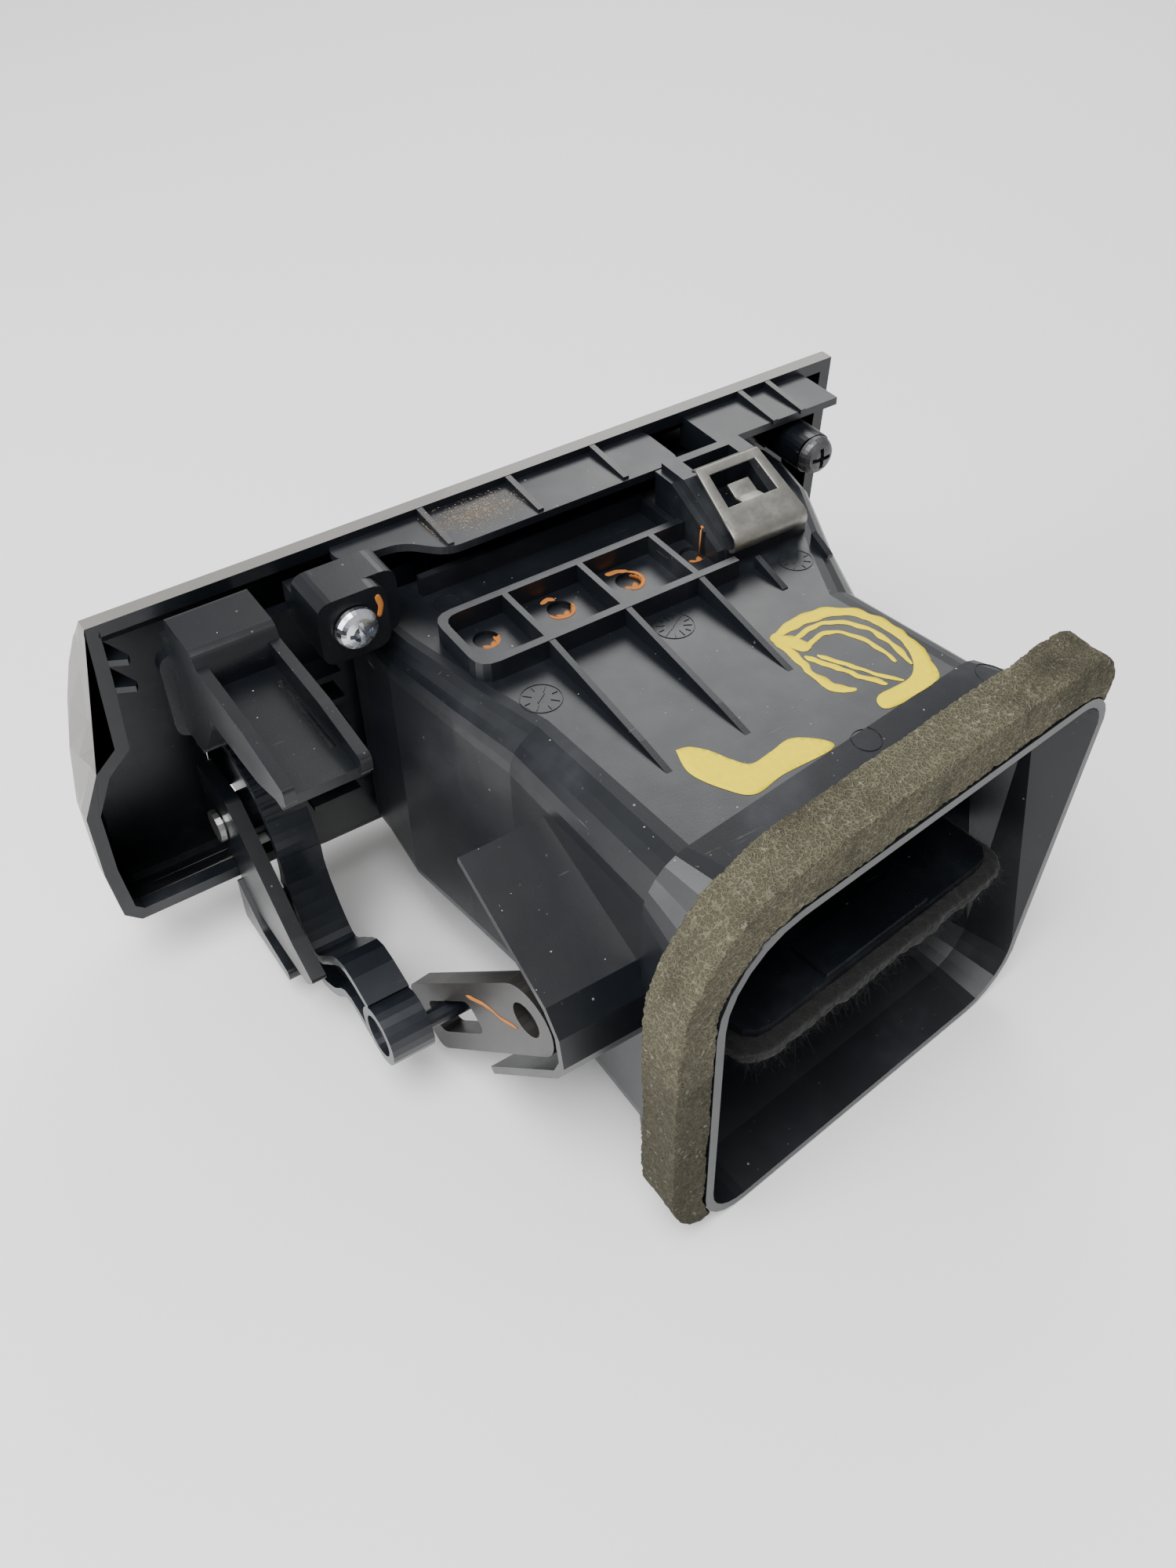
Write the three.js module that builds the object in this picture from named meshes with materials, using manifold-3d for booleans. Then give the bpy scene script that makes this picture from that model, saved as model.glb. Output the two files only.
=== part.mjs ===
// Dashboard side air vent: trim bezel, tilting and swinging vanes, thumbwheel, damper and air duct.
// Millimetres, +Z up. The visible grille faces -Y and the duct leaves towards +Y.
// The origin is the centre of the whole part's footprint, at the level of its lowest edge.
import * as THREE from "three";
import { mergeVertices } from "three/addons/utils/BufferGeometryUtils.js";
import Module from "manifold-3d";

const wasm = await Module();
wasm.setup();

// ---------------------------------------------------------------- driving dimensions

const GAP = 0.3; // clearance between neighbouring pieces
const WALL = 1.8; // duct wall
const SMOOTH = 16; // sides of a small round

// trim bezel
const BEZEL_TOP = 87.6; // upper edge, at the back
const BEZEL_BOTTOM = 18; // lower edge, at the back
const BEZEL_LEFT = 86; // reach of the +X end
const BEZEL_RIGHT = -86.2; // reach of the -X end
const BEZEL_BACK = -42; // plane of the bezel's rear edge
const BEZEL_DEPTH = 20.5; // front face to rear edge
const BEZEL_WALL = 2.6;
const BEZEL_ROUND = 4; // rounding of the front edge
const BEZEL_RIM = 3; // straight part of the sides, next to the rear edge
const FRONT_TOP = BEZEL_TOP - 15; // upper edge of the front face, under the sloping brow
const FRONT_BOTTOM = BEZEL_BOTTOM - 11;
const FRONT = BEZEL_BACK - BEZEL_DEPTH;

// grille housing and its vane window
const WINDOW_LEFT = 27.3; // +X side
const WINDOW_RIGHT = -63.3; // -X side
const WINDOW_TOP = 66;
const WINDOW_BOTTOM = 23.2;
const HOUSING_WALL = 2;
const HOUSING_FRONT = FRONT + BEZEL_WALL + GAP;
const HOUSING_BACK = -33;
const PLATE = 2.4; // thickness of the housing's mounting plate
const PLATE_BACK = BEZEL_BACK + GAP + PLATE;

// vanes
const TILT_VANES = 5;
const TILT_PIVOT_Y = -56;
const TILT_FRONT = 4.5; // chord ahead of the pivot
const TILT_REAR = 4; // chord behind the pivot
const VANE = 1.9; // thickness
const SWING_VANES = 7;
const SWING_PIVOT_Y = -40;
const SWING_FRONT = 9.5;
const SWING_REAR = 7.5;
const STUB = 1.1; // radius of a vane's pivot stub
const LINK_PIN = 0.9; // radius of a link bar's pin
const LINK = 1.5; // thickness of a link bar
const TILT_LINK_ARM = 3.7; // pivot to link pin
const SWING_LINK_ARM = 7;
const FORK_ARM = 9; // swing pivot to the rod that the slider's fork holds

// duct: outer sections from front to rear
const DUCT_TOP = 76;
const YAW = THREE.MathUtils.degToRad(7.4); // the rear end is turned by this much
const LIP_X = 26; // a point of the rear lip's plane
const LIP_Y = 67;
const COLLAR = 19; // length of the collar behind the seam
const COLLAR_STEP = 0.8; // the collar stands this much proud of the duct
const LIP_BOTTOM = 0;
const LIP_TOP = 73.3;
const LIP_LEFT = 23.7; // +X side of the lip
const LIP_WIDTH = 93.5; // along the top of the lip
const LIP_SLANT = 9; // the lip is narrower by this much at its foot
// corner radii seen along +Y: +X top, -X top, -X bottom, +X bottom
const LIP_CORNERS = [17, 8, 13, 10];
const DUCT_CORNERS = [9, 8, 9, 8];

// foam strip on the upper and +X side of the lip
const FOAM_TOP = 9.2;
const FOAM_SIDE = 8;
const FOAM_DEPTH = 9.5;

// ribbed tray on the duct
const RIB = 1.6;
const RIB_HEIGHT = 4;
const TRAY_FRONT = -20.3;
const TRAY_REAR = -4.4;
const TRAY_LEFT = 22;
const TRAY_RIGHT = -32;
const TRAY_CELLS = 16; // spacing of the cross ribs
const RIB_TIPS = [31.8, 31.5, 23.4]; // where the three long ribs run out

// damper
const SHAFT_X = 40; // outer end of the damper's axis
const SHAFT_Y = 36.8;
const SHAFT_Z = 40.5;
const SHAFT = 3.2; // radius
const BLADE_NEAR = 24.5; // along the axis, from the outer end
const BLADE_FAR = 87.5;
const BLADE_REAR = 27.8;
const BLADE_FRONT = 30;
const BLADE = 1.8;
const FELT = 3;
const FELT_MARGIN = 2.6;
const CRANK = 4; // thickness of the crank plate
const CRANK_LENGTH = 46;
const CRANK_HUB = 7.2; // radius of the hub, and half of the plate's height
const SLOT_NEAR = 21;
const SLOT_FAR = 41;
const SLOT_HALF = 3.4;

// thumbwheel lever
const WHEEL_Y = -46;
const WHEEL_Z = 29.5;
const WHEEL = 18.5; // radius
const TOOTH = 0.7; // radius of a tooth on the rim
const LEVER_TURN = 36; // degrees from open to closed
const CRANK_RATIO = -1.97; // turn of the crank per turn of the lever
const LEVER_RIGHT = 48;
const LEVER_LEFT = 56.5;
const PIN_Y = 12;
const PIN_Z = 18.5;
const PIN = 1.8;
const FLANGE = 1.8;
const WEB = 2;
const AXLE = 2; // radius of the wheel's axle

// clips and screws
const TOWER_RIGHT = 49;
const TOWER_LEFT = 64;
const TOWER_TOP = 89;
const TOWER_END = 10;
const CLIP_LEFT = -34;
const CLIP_RIGHT = -51;
const SCREW_X = 36;
const SCREW_Z = 84;
const SCREW_HEAD = 4;
const BOSS_FACE = -21.5;
const FAR_SCREW_X = -68.5;
const FAR_SCREW_Z = 79;

// ---------------------------------------------------------------- solids

function solid(geometry) {
  const plain = geometry.index ? geometry.toNonIndexed() : geometry.clone();
  plain.deleteAttribute("normal");
  plain.deleteAttribute("uv");
  const merged = mergeVertices(plain, 1e-4);
  return new wasm.Manifold(
    new wasm.Mesh({
      numProp: 3,
      vertProperties: new Float32Array(merged.attributes.position.array),
      triVerts: new Uint32Array(merged.index.array),
    }),
  );
}

const join = (...pieces) => pieces.reduce((a, b) => a.add(b));
const cut = (body, ...tools) => tools.reduce((a, b) => a.subtract(b), body);

const MIDDLE_GREY = 0x2b2d30;
const plastic = (color, roughness = 0.55) =>
  new THREE.MeshStandardMaterial({ color, roughness, metalness: 0 });
const metal = (color, roughness = 0.4) =>
  new THREE.MeshStandardMaterial({ color, roughness, metalness: 1 });

const vent = new THREE.Group();

function addMesh(name, body, material, parent = vent) {
  const made = body.getMesh();
  const geometry = new THREE.BufferGeometry();
  geometry.setAttribute("position", new THREE.BufferAttribute(new Float32Array(made.vertProperties), 3));
  geometry.setIndex(new THREE.BufferAttribute(new Uint32Array(made.triVerts), 1));
  geometry.computeVertexNormals();
  const mesh = new THREE.Mesh(geometry, material);
  mesh.name = name;
  parent.add(mesh);
  return mesh;
}

function block(x0, x1, y0, y1, z0, z1) {
  const box = new THREE.BoxGeometry(Math.abs(x1 - x0), Math.abs(y1 - y0), Math.abs(z1 - z0));
  box.translate((x0 + x1) / 2, (y0 + y1) / 2, (z0 + z1) / 2);
  return solid(box);
}

// A round rod from one point, along an axis.
function rod(axis, radius, from, to, a, b, sides = SMOOTH) {
  const geometry = new THREE.CylinderGeometry(radius, radius, Math.abs(to - from), sides);
  const middle = (from + to) / 2;
  if (axis === "x") geometry.rotateZ(Math.PI / 2).translate(middle, a, b);
  if (axis === "y") geometry.translate(a, middle, b);
  if (axis === "z") geometry.rotateX(Math.PI / 2).translate(a, b, middle);
  return solid(geometry);
}

const alongX = new THREE.Matrix4().makeBasis(
  new THREE.Vector3(0, 1, 0),
  new THREE.Vector3(0, 0, 1),
  new THREE.Vector3(1, 0, 0),
);
const alongY = new THREE.Matrix4().makeBasis(
  new THREE.Vector3(1, 0, 0),
  new THREE.Vector3(0, 0, 1),
  new THREE.Vector3(0, -1, 0),
);

// An outline drawn in (y, z) and run from x0 to x1.
function runX(shape, x0, x1, curveSegments = 6) {
  const geometry = new THREE.ExtrudeGeometry(shape, { depth: x1 - x0, bevelEnabled: false, curveSegments });
  return solid(geometry.applyMatrix4(alongX).translate(x0, 0, 0));
}

// An outline drawn in (x, z) and run from y0 to y1.
function runY(shape, y0, y1, curveSegments = 6) {
  const geometry = new THREE.ExtrudeGeometry(shape, { depth: y1 - y0, bevelEnabled: false, curveSegments });
  return solid(geometry.applyMatrix4(alongY).translate(0, y1, 0));
}

// An outline drawn in (x, y) and run from z0 to z1.
function runZ(shape, z0, z1, curveSegments = 6) {
  const geometry = new THREE.ExtrudeGeometry(shape, { depth: z1 - z0, bevelEnabled: false, curveSegments });
  return solid(geometry.translate(0, 0, z0));
}

const polygon = (points) => new THREE.Shape(points.map(([a, b]) => new THREE.Vector2(a, b)));

// A polygon whose corners are rounded by the same radius.
function softPolygon(points, radius) {
  const shape = new THREE.Shape();
  const corners = points.map(([a, b]) => new THREE.Vector2(a, b));
  corners.forEach((corner, i) => {
    const before = corners.at(i - 1);
    const after = corners[(i + 1) % corners.length];
    const back = before.clone().sub(corner);
    const ahead = after.clone().sub(corner);
    const reach = Math.min(radius, back.length() / 2.1, ahead.length() / 2.1);
    const start = corner.clone().add(back.setLength(reach));
    const end = corner.clone().add(ahead.setLength(reach));
    if (i === 0) shape.moveTo(start.x, start.y);
    else shape.lineTo(start.x, start.y);
    shape.quadraticCurveTo(corner.x, corner.y, end.x, end.y);
  });
  shape.closePath();
  return shape;
}

const roundedBox = (a0, a1, b0, b1, radius) =>
  softPolygon([[a0, b0], [a1, b0], [a1, b1], [a0, b1]], radius);

// A band of constant width that follows a line of (y, z) points, run from x0 to x1.
function band(points, width, x0, x1) {
  const line = points.map(([a, b]) => new THREE.Vector2(a, b));
  const side = (sign) =>
    line.map((point, i) => {
      const before = line[Math.max(i - 1, 0)];
      const after = line[Math.min(i + 1, line.length - 1)];
      const along = after.clone().sub(before).normalize();
      return [point.x - sign * along.y * width / 2, point.y + sign * along.x * width / 2];
    });
  return runX(polygon([...side(-1), ...side(1).reverse()]), x0, x1);
}

// The mesh between sections that all have the same number of points, closed at both ends.
function loft(sections) {
  const count = sections[0].length;
  const position = sections.flat().flatMap((p) => [p.x, p.y, p.z]);
  const index = [];
  for (let s = 0; s + 1 < sections.length; s++) {
    for (let i = 0; i < count; i++) {
      const a = s * count + i;
      const b = s * count + ((i + 1) % count);
      index.push(a, b + count, b, a, a + count, b + count);
    }
  }
  const last = (sections.length - 1) * count;
  for (let i = 1; i + 1 < count; i++) {
    index.push(0, i, i + 1);
    index.push(last, last + i + 1, last + i);
  }
  const geometry = new THREE.BufferGeometry();
  geometry.setAttribute("position", new THREE.Float32BufferAttribute(position, 3));
  geometry.setIndex(index);
  return solid(geometry);
}

// ---------------------------------------------------------------- trim bezel

// The bezel's outline at its rear edge and at its front face, as (x, z) points that pair up.
// Both start at the +X end of the upper edge and go round towards -X.
const REAR_OUTLINE = [
  [BEZEL_LEFT - 10.3, BEZEL_TOP],
  [BEZEL_RIGHT, BEZEL_TOP],
  [BEZEL_RIGHT + 1.5, BEZEL_TOP - 24],
  [BEZEL_RIGHT + 4, BEZEL_BOTTOM + 4],
  [BEZEL_RIGHT + 7, BEZEL_BOTTOM],
  [BEZEL_LEFT - 4, BEZEL_BOTTOM],
  [BEZEL_LEFT - 1, BEZEL_BOTTOM + 3],
  [BEZEL_LEFT, BEZEL_BOTTOM + 15],
  [BEZEL_LEFT - 0.3, BEZEL_BOTTOM + 30],
  [BEZEL_LEFT - 4.5, BEZEL_BOTTOM + 39],
  [BEZEL_LEFT - 9, BEZEL_BOTTOM + 43],
  [BEZEL_LEFT - 9.8, BEZEL_BOTTOM + 58],
  [BEZEL_LEFT - 10, BEZEL_TOP - 1],
];
const FRONT_OUTLINE = [
  [BEZEL_LEFT - 13.5, FRONT_TOP],
  [BEZEL_RIGHT + 1, FRONT_TOP],
  [BEZEL_RIGHT + 2, FRONT_TOP - 20],
  [BEZEL_RIGHT + 5, FRONT_BOTTOM + 4],
  [BEZEL_RIGHT + 9, FRONT_BOTTOM],
  [BEZEL_LEFT - 6, FRONT_BOTTOM],
  [BEZEL_LEFT - 2.8, FRONT_BOTTOM + 3],
  [BEZEL_LEFT - 2, FRONT_BOTTOM + 15],
  [BEZEL_LEFT - 2.2, FRONT_BOTTOM + 29],
  [BEZEL_LEFT - 3.6, FRONT_BOTTOM + 43],
  [BEZEL_LEFT - 5.8, FRONT_BOTTOM + 54.5],
  [BEZEL_LEFT - 8.3, FRONT_TOP - 4.5],
  [BEZEL_LEFT - 11.1, FRONT_TOP - 0.6],
];

// The bezel's outline at a depth behind its rear edge, with every side moved inwards by inset.
function bezelSection(depth, inset) {
  const share = Math.max(depth - BEZEL_RIM, 0) / (BEZEL_DEPTH - BEZEL_RIM);
  const line = REAR_OUTLINE.map(([x, z], i) =>
    new THREE.Vector2(x, z).lerp(new THREE.Vector2(...FRONT_OUTLINE[i]), share));
  return line.map((point, i) => {
    const before = point.clone().sub(line.at(i - 1)).normalize();
    const after = line[(i + 1) % line.length].clone().sub(point).normalize();
    const inwards = new THREE.Vector2(-before.y - after.y, before.x + after.x).normalize();
    const reach = inset / Math.max(inwards.dot(new THREE.Vector2(-before.y, before.x)), 0.5);
    return new THREE.Vector3(point.x + inwards.x * reach, BEZEL_BACK - depth, point.y + inwards.y * reach);
  });
}

function bezelBody() {
  const rounding = [90, 60, 30, 0].map((degrees) => {
    const turn = THREE.MathUtils.degToRad(degrees);
    const depth = BEZEL_DEPTH - BEZEL_ROUND * (1 - Math.sin(turn));
    return bezelSection(depth, BEZEL_ROUND * (1 - Math.cos(turn)));
  });
  const sides = [BEZEL_DEPTH / 2, BEZEL_RIM, 0];
  const outer = loft([...rounding, ...sides.map((depth) => bezelSection(depth, 0))]);
  const deep = BEZEL_DEPTH - BEZEL_WALL;
  const hollow = [deep, deep - 2, ...sides, -1];
  const insets = hollow.map((depth) => (depth === deep ? BEZEL_WALL + 1.4 : BEZEL_WALL));
  return cut(outer, loft(hollow.map((depth, i) => bezelSection(depth, insets[i]))));
}

const SHELF_TOP = BEZEL_TOP - 1.5;
const SHELF = 1.6;
const SHELF_BACK = BEZEL_BACK + 12.5;
const SHELF_END = 31;

function bezelShelf() {
  const low = SHELF_TOP - SHELF;
  const root = BEZEL_BACK - 1;
  const near = softPolygon([
    [SHELF_END, root],
    [SHELF_END, SHELF_BACK - 7.5],
    [19, SHELF_BACK - 6.5],
    [13, SHELF_BACK],
    [-38.5, SHELF_BACK],
    [-38.5, root],
  ], 3);
  const far = polygon([
    [-48, root],
    [-48, SHELF_BACK - 1],
    [BEZEL_RIGHT + 8, SHELF_BACK - 1],
    [BEZEL_RIGHT + 8, root],
  ]);
  const web = block(-49.5, -48, root, SHELF_BACK - 1, low - 5, low + 0.5);
  const gusset = polygon([
    [root, SHELF_TOP - 0.5],
    [SHELF_BACK - 0.6, SHELF_TOP - 0.5],
    [SHELF_BACK - 0.6, SHELF_TOP + 0.5],
    [root, BEZEL_TOP],
  ]);
  const gussets = [12, -7, -26, -62, -69].map((x) => runX(gusset, x - 0.6, x + 0.6));
  return join(runZ(near, low, SHELF_TOP), runZ(far, low, SHELF_TOP), web, ...gussets);
}

// Two bent fins that stiffen the bezel's +X end.
function bezelEnd() {
  const x = BEZEL_LEFT - 12.5;
  const fin = polygon([
    [x + 1, BEZEL_BACK - 6],
    [x + 1, BEZEL_BACK - 0.5],
    [x - 3, BEZEL_BACK + 1.5],
    [x - 3.6, BEZEL_BACK + 0.4],
    [x - 1, BEZEL_BACK - 6],
  ]);
  const fins = [BEZEL_TOP - 9, BEZEL_TOP - 15].map((z) => runZ(fin, z, z + 1.3));
  return join(...fins);
}

const SLOT_GAP = 0.7; // beside the thumbwheel
const wheelDepth = WHEEL_Y - FRONT - BEZEL_WALL; // from the wheel's centre to the front wall's inside
const SLOT_REACH = Math.sqrt((WHEEL + TOOTH) ** 2 - wheelDepth ** 2) + 2 * GAP;
const wheelSlot = block(LEVER_RIGHT - SLOT_GAP, LEVER_LEFT + SLOT_GAP, FRONT - 5, FRONT + 8,
  WHEEL_Z - SLOT_REACH, WHEEL_Z + SLOT_REACH);

addMesh(
  "front_bezel",
  cut(
    join(bezelBody(), bezelShelf(), bezelEnd()),
    runY(roundedBox(WINDOW_RIGHT, WINDOW_LEFT, WINDOW_BOTTOM, WINDOW_TOP, 3), FRONT - 5, FRONT + 6),
    wheelSlot,
  ),
  plastic(0x8f8d88, 0.6),
);

// ---------------------------------------------------------------- grille housing

const tiltZ = (i) => {
  const pitch = (WINDOW_TOP - WINDOW_BOTTOM) / TILT_VANES;
  return WINDOW_BOTTOM + pitch * (i + 0.5);
};
const MIDDLE_X = (WINDOW_LEFT + WINDOW_RIGHT) / 2;
const swingX = (i) => {
  const pitch = (WINDOW_LEFT - WINDOW_RIGHT - 15.6) / (SWING_VANES - 1);
  return MIDDLE_X + pitch * (i - (SWING_VANES - 1) / 2);
};

function housingTube() {
  const outer = roundedBox(WINDOW_RIGHT - HOUSING_WALL, WINDOW_LEFT + HOUSING_WALL,
    WINDOW_BOTTOM - HOUSING_WALL, WINDOW_TOP + HOUSING_WALL, 4);
  const inner = roundedBox(WINDOW_RIGHT, WINDOW_LEFT, WINDOW_BOTTOM, WINDOW_TOP, 2.4);
  return cut(runY(outer, HOUSING_FRONT, HOUSING_BACK), runY(inner, HOUSING_FRONT - 1, HOUSING_BACK + 1));
}

function housingPlate() {
  const outline = softPolygon([
    [WINDOW_RIGHT - 9, WINDOW_BOTTOM - 4],
    [LEVER_RIGHT - 2, WINDOW_BOTTOM - 4],
    [LEVER_RIGHT - 2, 58],
    [TOWER_LEFT + 2, 60],
    [TOWER_LEFT + 2, BEZEL_TOP - 9],
    [WINDOW_RIGHT - 9, BEZEL_TOP - 9],
  ], 3);
  const plate = runY(outline, PLATE_BACK - PLATE, PLATE_BACK);
  const inner = roundedBox(WINDOW_RIGHT, WINDOW_LEFT, WINDOW_BOTTOM, WINDOW_TOP, 2.4);
  return cut(plate, runY(inner, PLATE_BACK - PLATE - 1, PLATE_BACK + 1));
}

// A sleeve above the vane frame fills the duct's mouth up to its roof.
function housingSleeve() {
  const top = DUCT_TOP - WALL - GAP;
  const left = WINDOW_LEFT + HOUSING_WALL;
  const right = WINDOW_RIGHT - HOUSING_WALL;
  const outer = roundedBox(right, left, WINDOW_TOP, top, 3);
  const inner = block(right + 3, left - 3, PLATE_BACK, 0, WINDOW_TOP + HOUSING_WALL, top - HOUSING_WALL);
  return cut(runY(outer, PLATE_BACK - PLATE, HOUSING_BACK), inner);
}

// Ribs beside the duct, one above the other.
function housingRibs() {
  return [34, 41, 51, 58, 64].map((z, i) =>
    block(WINDOW_LEFT + 8, LEVER_RIGHT - 2.5 - (i % 2) * 2, PLATE_BACK - 1, PLATE_BACK + 5.5, z, z + 1.4));
}

// The left retaining tower: a block with two rails that run back and a sunk panel between them.
function leftTower() {
  const base = softPolygon([
    [-36, 60],
    [-30, 63],
    [-22, 74],
    [-22, TOWER_TOP - 4],
    [-24, TOWER_TOP],
    [-36, TOWER_TOP],
  ], 1.5);
  const blockPart = runX(base, TOWER_RIGHT, TOWER_LEFT);
  const foot = block(TOWER_RIGHT, TOWER_LEFT, PLATE_BACK - 1, -32, 61, TOWER_TOP - 6);
  const rail = softPolygon([
    [-2, TOWER_TOP - 11.5],
    [TOWER_END, TOWER_TOP - 7.5],
    [TOWER_END, TOWER_TOP - 4],
    [-4, TOWER_TOP - 2.5],
    [-24, TOWER_TOP - 2.5],
    [-24, TOWER_TOP - 13],
  ], 1);
  const rails = [TOWER_RIGHT, TOWER_LEFT - 2].map((x) => runX(rail, x, x + 2));
  const panel = block(TOWER_RIGHT, TOWER_LEFT, -24, TOWER_END - 1.5, TOWER_TOP - 9, TOWER_TOP - 7);
  const slot = block(TOWER_RIGHT + 2.5, TOWER_RIGHT + 3.6, -18, 2, TOWER_TOP - 10, TOWER_TOP - 5);
  return cut(join(blockPart, foot, panel, ...rails), slot);
}

// A boss that a screw enters from behind, on a neck that stands on the mounting plate.
// Behind the face that the screw enters, the boss may reach further towards -X.
function screwBoss({ x, z, side, face, depth, radius, wing = 0 }) {
  const front = face - depth;
  const boss = join(
    runY(roundedBox(x - side, x + side, z - side, z + side, radius), front, face),
    runY(roundedBox(x - side - wing, x + side, z - side, z + side, radius), front, face - 3),
  );
  const neck = block(x - side + 1.5, x + side - 1.5, PLATE_BACK - 1, front + 1, z - side, z);
  return cut(join(boss, neck), rod("y", 1.7, face - 12, face + 1, x, z));
}

// Cheeks on each side of the thumbwheel that hold its axle.
function wheelCheeks() {
  const outerCheek = softPolygon([
    [-54, 40],
    [PLATE_BACK, 41],
    [-16, 22],
    [-8, 18],
    [-12, 14],
    [-30, 13.5],
    [PLATE_BACK - PLATE, 13.5],
    [PLATE_BACK - PLATE, 22],
    [-54, 21],
  ], 1);
  const innerCheek = roundedBox(-52, PLATE_BACK, WHEEL_Z - 6, WHEEL_Z + 6, 2);
  const inside = LEVER_RIGHT - 1.4;
  const outside = LEVER_LEFT + 1.6;
  const rail = softPolygon([
    [PLATE_BACK - PLATE, 6.5],
    [-20, 7],
    [-20, 9.5],
    [-32, 11],
    [PLATE_BACK - PLATE, 18],
  ], 1);
  return join(
    runX(outerCheek, outside, outside + 3),
    runX(innerCheek, inside - 2.5, inside),
    runX(rail, outside, outside + 4),
    block(inside - 2.5, inside, PLATE_BACK - PLATE, PLATE_BACK, 6.5, 30),
    block(inside - 2.5, outside + 3, PLATE_BACK - PLATE, PLATE_BACK, 6.5, 9.5),
  );
}

const vaneBores = [];
for (let i = 0; i < TILT_VANES; i++) {
  vaneBores.push(rod("x", STUB + GAP, WINDOW_RIGHT - 3, WINDOW_LEFT + 3, TILT_PIVOT_Y, tiltZ(i)));
}
for (let i = 0; i < SWING_VANES; i++) {
  vaneBores.push(rod("z", STUB + GAP, WINDOW_BOTTOM - 3, WINDOW_TOP + 3, swingX(i), SWING_PIVOT_Y));
}

const FAR_FACE = BOSS_FACE - 4;
const nearBoss = screwBoss({
  x: SCREW_X,
  z: SCREW_Z,
  side: 6.5,
  face: BOSS_FACE,
  depth: 10.5,
  radius: 3,
  wing: 3.5,
});

addMesh(
  "grille_housing",
  cut(
    join(
      housingTube(),
      housingPlate(),
      housingSleeve(),
      ...housingRibs(),
      leftTower(),
      wheelCheeks(),
      nearBoss,
      screwBoss({ x: FAR_SCREW_X, z: FAR_SCREW_Z, side: 4, face: FAR_FACE, depth: 13, radius: 3.9 }),
    ),
    ...vaneBores,
    rod("x", AXLE + GAP, LEVER_RIGHT - 6, LEVER_LEFT + 7, WHEEL_Y, WHEEL_Z),
  ),
  plastic(MIDDLE_GREY),
);

// ---------------------------------------------------------------- vanes

const TILT_LEFT = WINDOW_LEFT - 3;
const TILT_RIGHT = WINDOW_RIGHT + 0.7;

function tiltVane(i) {
  const z = tiltZ(i);
  const y = TILT_PIVOT_Y;
  const profile = softPolygon([
    [y - TILT_FRONT, z - VANE / 2],
    [y + TILT_REAR, z - VANE / 4],
    [y + TILT_REAR, z + VANE / 4],
    [y - TILT_FRONT, z + VANE / 2],
  ], 0.8);
  return join(
    runX(profile, TILT_RIGHT, TILT_LEFT, 2),
    rod("x", STUB, WINDOW_RIGHT - 1.5, TILT_RIGHT + 1, y, z, 12),
    rod("x", STUB, TILT_LEFT - 1, WINDOW_LEFT + 1.5, y, z, 12),
    rod("x", LINK_PIN, TILT_LEFT - 1, TILT_LEFT + LINK + 2 * GAP + 0.2, y + TILT_LINK_ARM, z, 10),
  );
}

for (let i = 0; i < TILT_VANES; i++) {
  addMesh(`tilt_vane_${i + 1}`, tiltVane(i), plastic(0x1d1e20, 0.5));
}

const LINK_HALF = 1.9; // half the width of a link bar

function tiltLinkBar() {
  const y = TILT_PIVOT_Y + TILT_LINK_ARM;
  const outline = roundedBox(y - LINK_HALF, y + LINK_HALF, tiltZ(0) - 2.2, tiltZ(TILT_VANES - 1) + 2.2, 1.5);
  const bar = runX(outline, TILT_LEFT + GAP, TILT_LEFT + GAP + LINK, 3);
  const holes = Array.from({ length: TILT_VANES }, (_, i) =>
    rod("x", LINK_PIN + GAP, TILT_LEFT, TILT_LEFT + 4, y, tiltZ(i), 10));
  return cut(bar, ...holes);
}

addMesh("tilt_link_bar", tiltLinkBar(), plastic(MIDDLE_GREY));

const SWING_TOP = WINDOW_TOP - 2.4;
const SWING_BOTTOM = WINDOW_BOTTOM + 0.5;
const FORK_REACH = 8; // half height of the window that the fork reaches into

function swingVane(i) {
  const x = swingX(i);
  const y = SWING_PIVOT_Y;
  const profile = softPolygon([
    [x - VANE / 4, y - SWING_FRONT],
    [x + VANE / 4, y - SWING_FRONT],
    [x + VANE / 2, y],
    [x + VANE / 4, y + SWING_REAR],
    [x - VANE / 4, y + SWING_REAR],
    [x - VANE / 2, y],
  ], 0.4);
  const blade = join(
    runZ(profile, SWING_BOTTOM, SWING_TOP, 1),
    rod("z", STUB, WINDOW_BOTTOM - 1.5, SWING_BOTTOM + 1, x, y, 12),
    rod("z", STUB, SWING_TOP - 1, WINDOW_TOP + 1.5, x, y, 12),
    rod("z", LINK_PIN, SWING_TOP - 1, SWING_TOP + LINK + 0.5, x, y - SWING_LINK_ARM, 10),
  );
  const isLeader = i === (SWING_VANES - 1) / 2;
  if (!isLeader) return blade;
  const middle = tiltZ((TILT_VANES - 1) / 2);
  const front = y - SWING_FRONT;
  const notch = block(x - 5, x + 5, front - 1, front + 4.7, middle - FORK_REACH, middle + FORK_REACH);
  const forkRod = rod("z", 0.9, middle - FORK_REACH - 1, middle + FORK_REACH + 1, x, y - FORK_ARM, 10);
  return join(cut(blade, notch), forkRod);
}

for (let i = 0; i < SWING_VANES; i++) {
  addMesh(`swing_vane_${i + 1}`, swingVane(i), plastic(0x1d1e20, 0.5));
}

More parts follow.
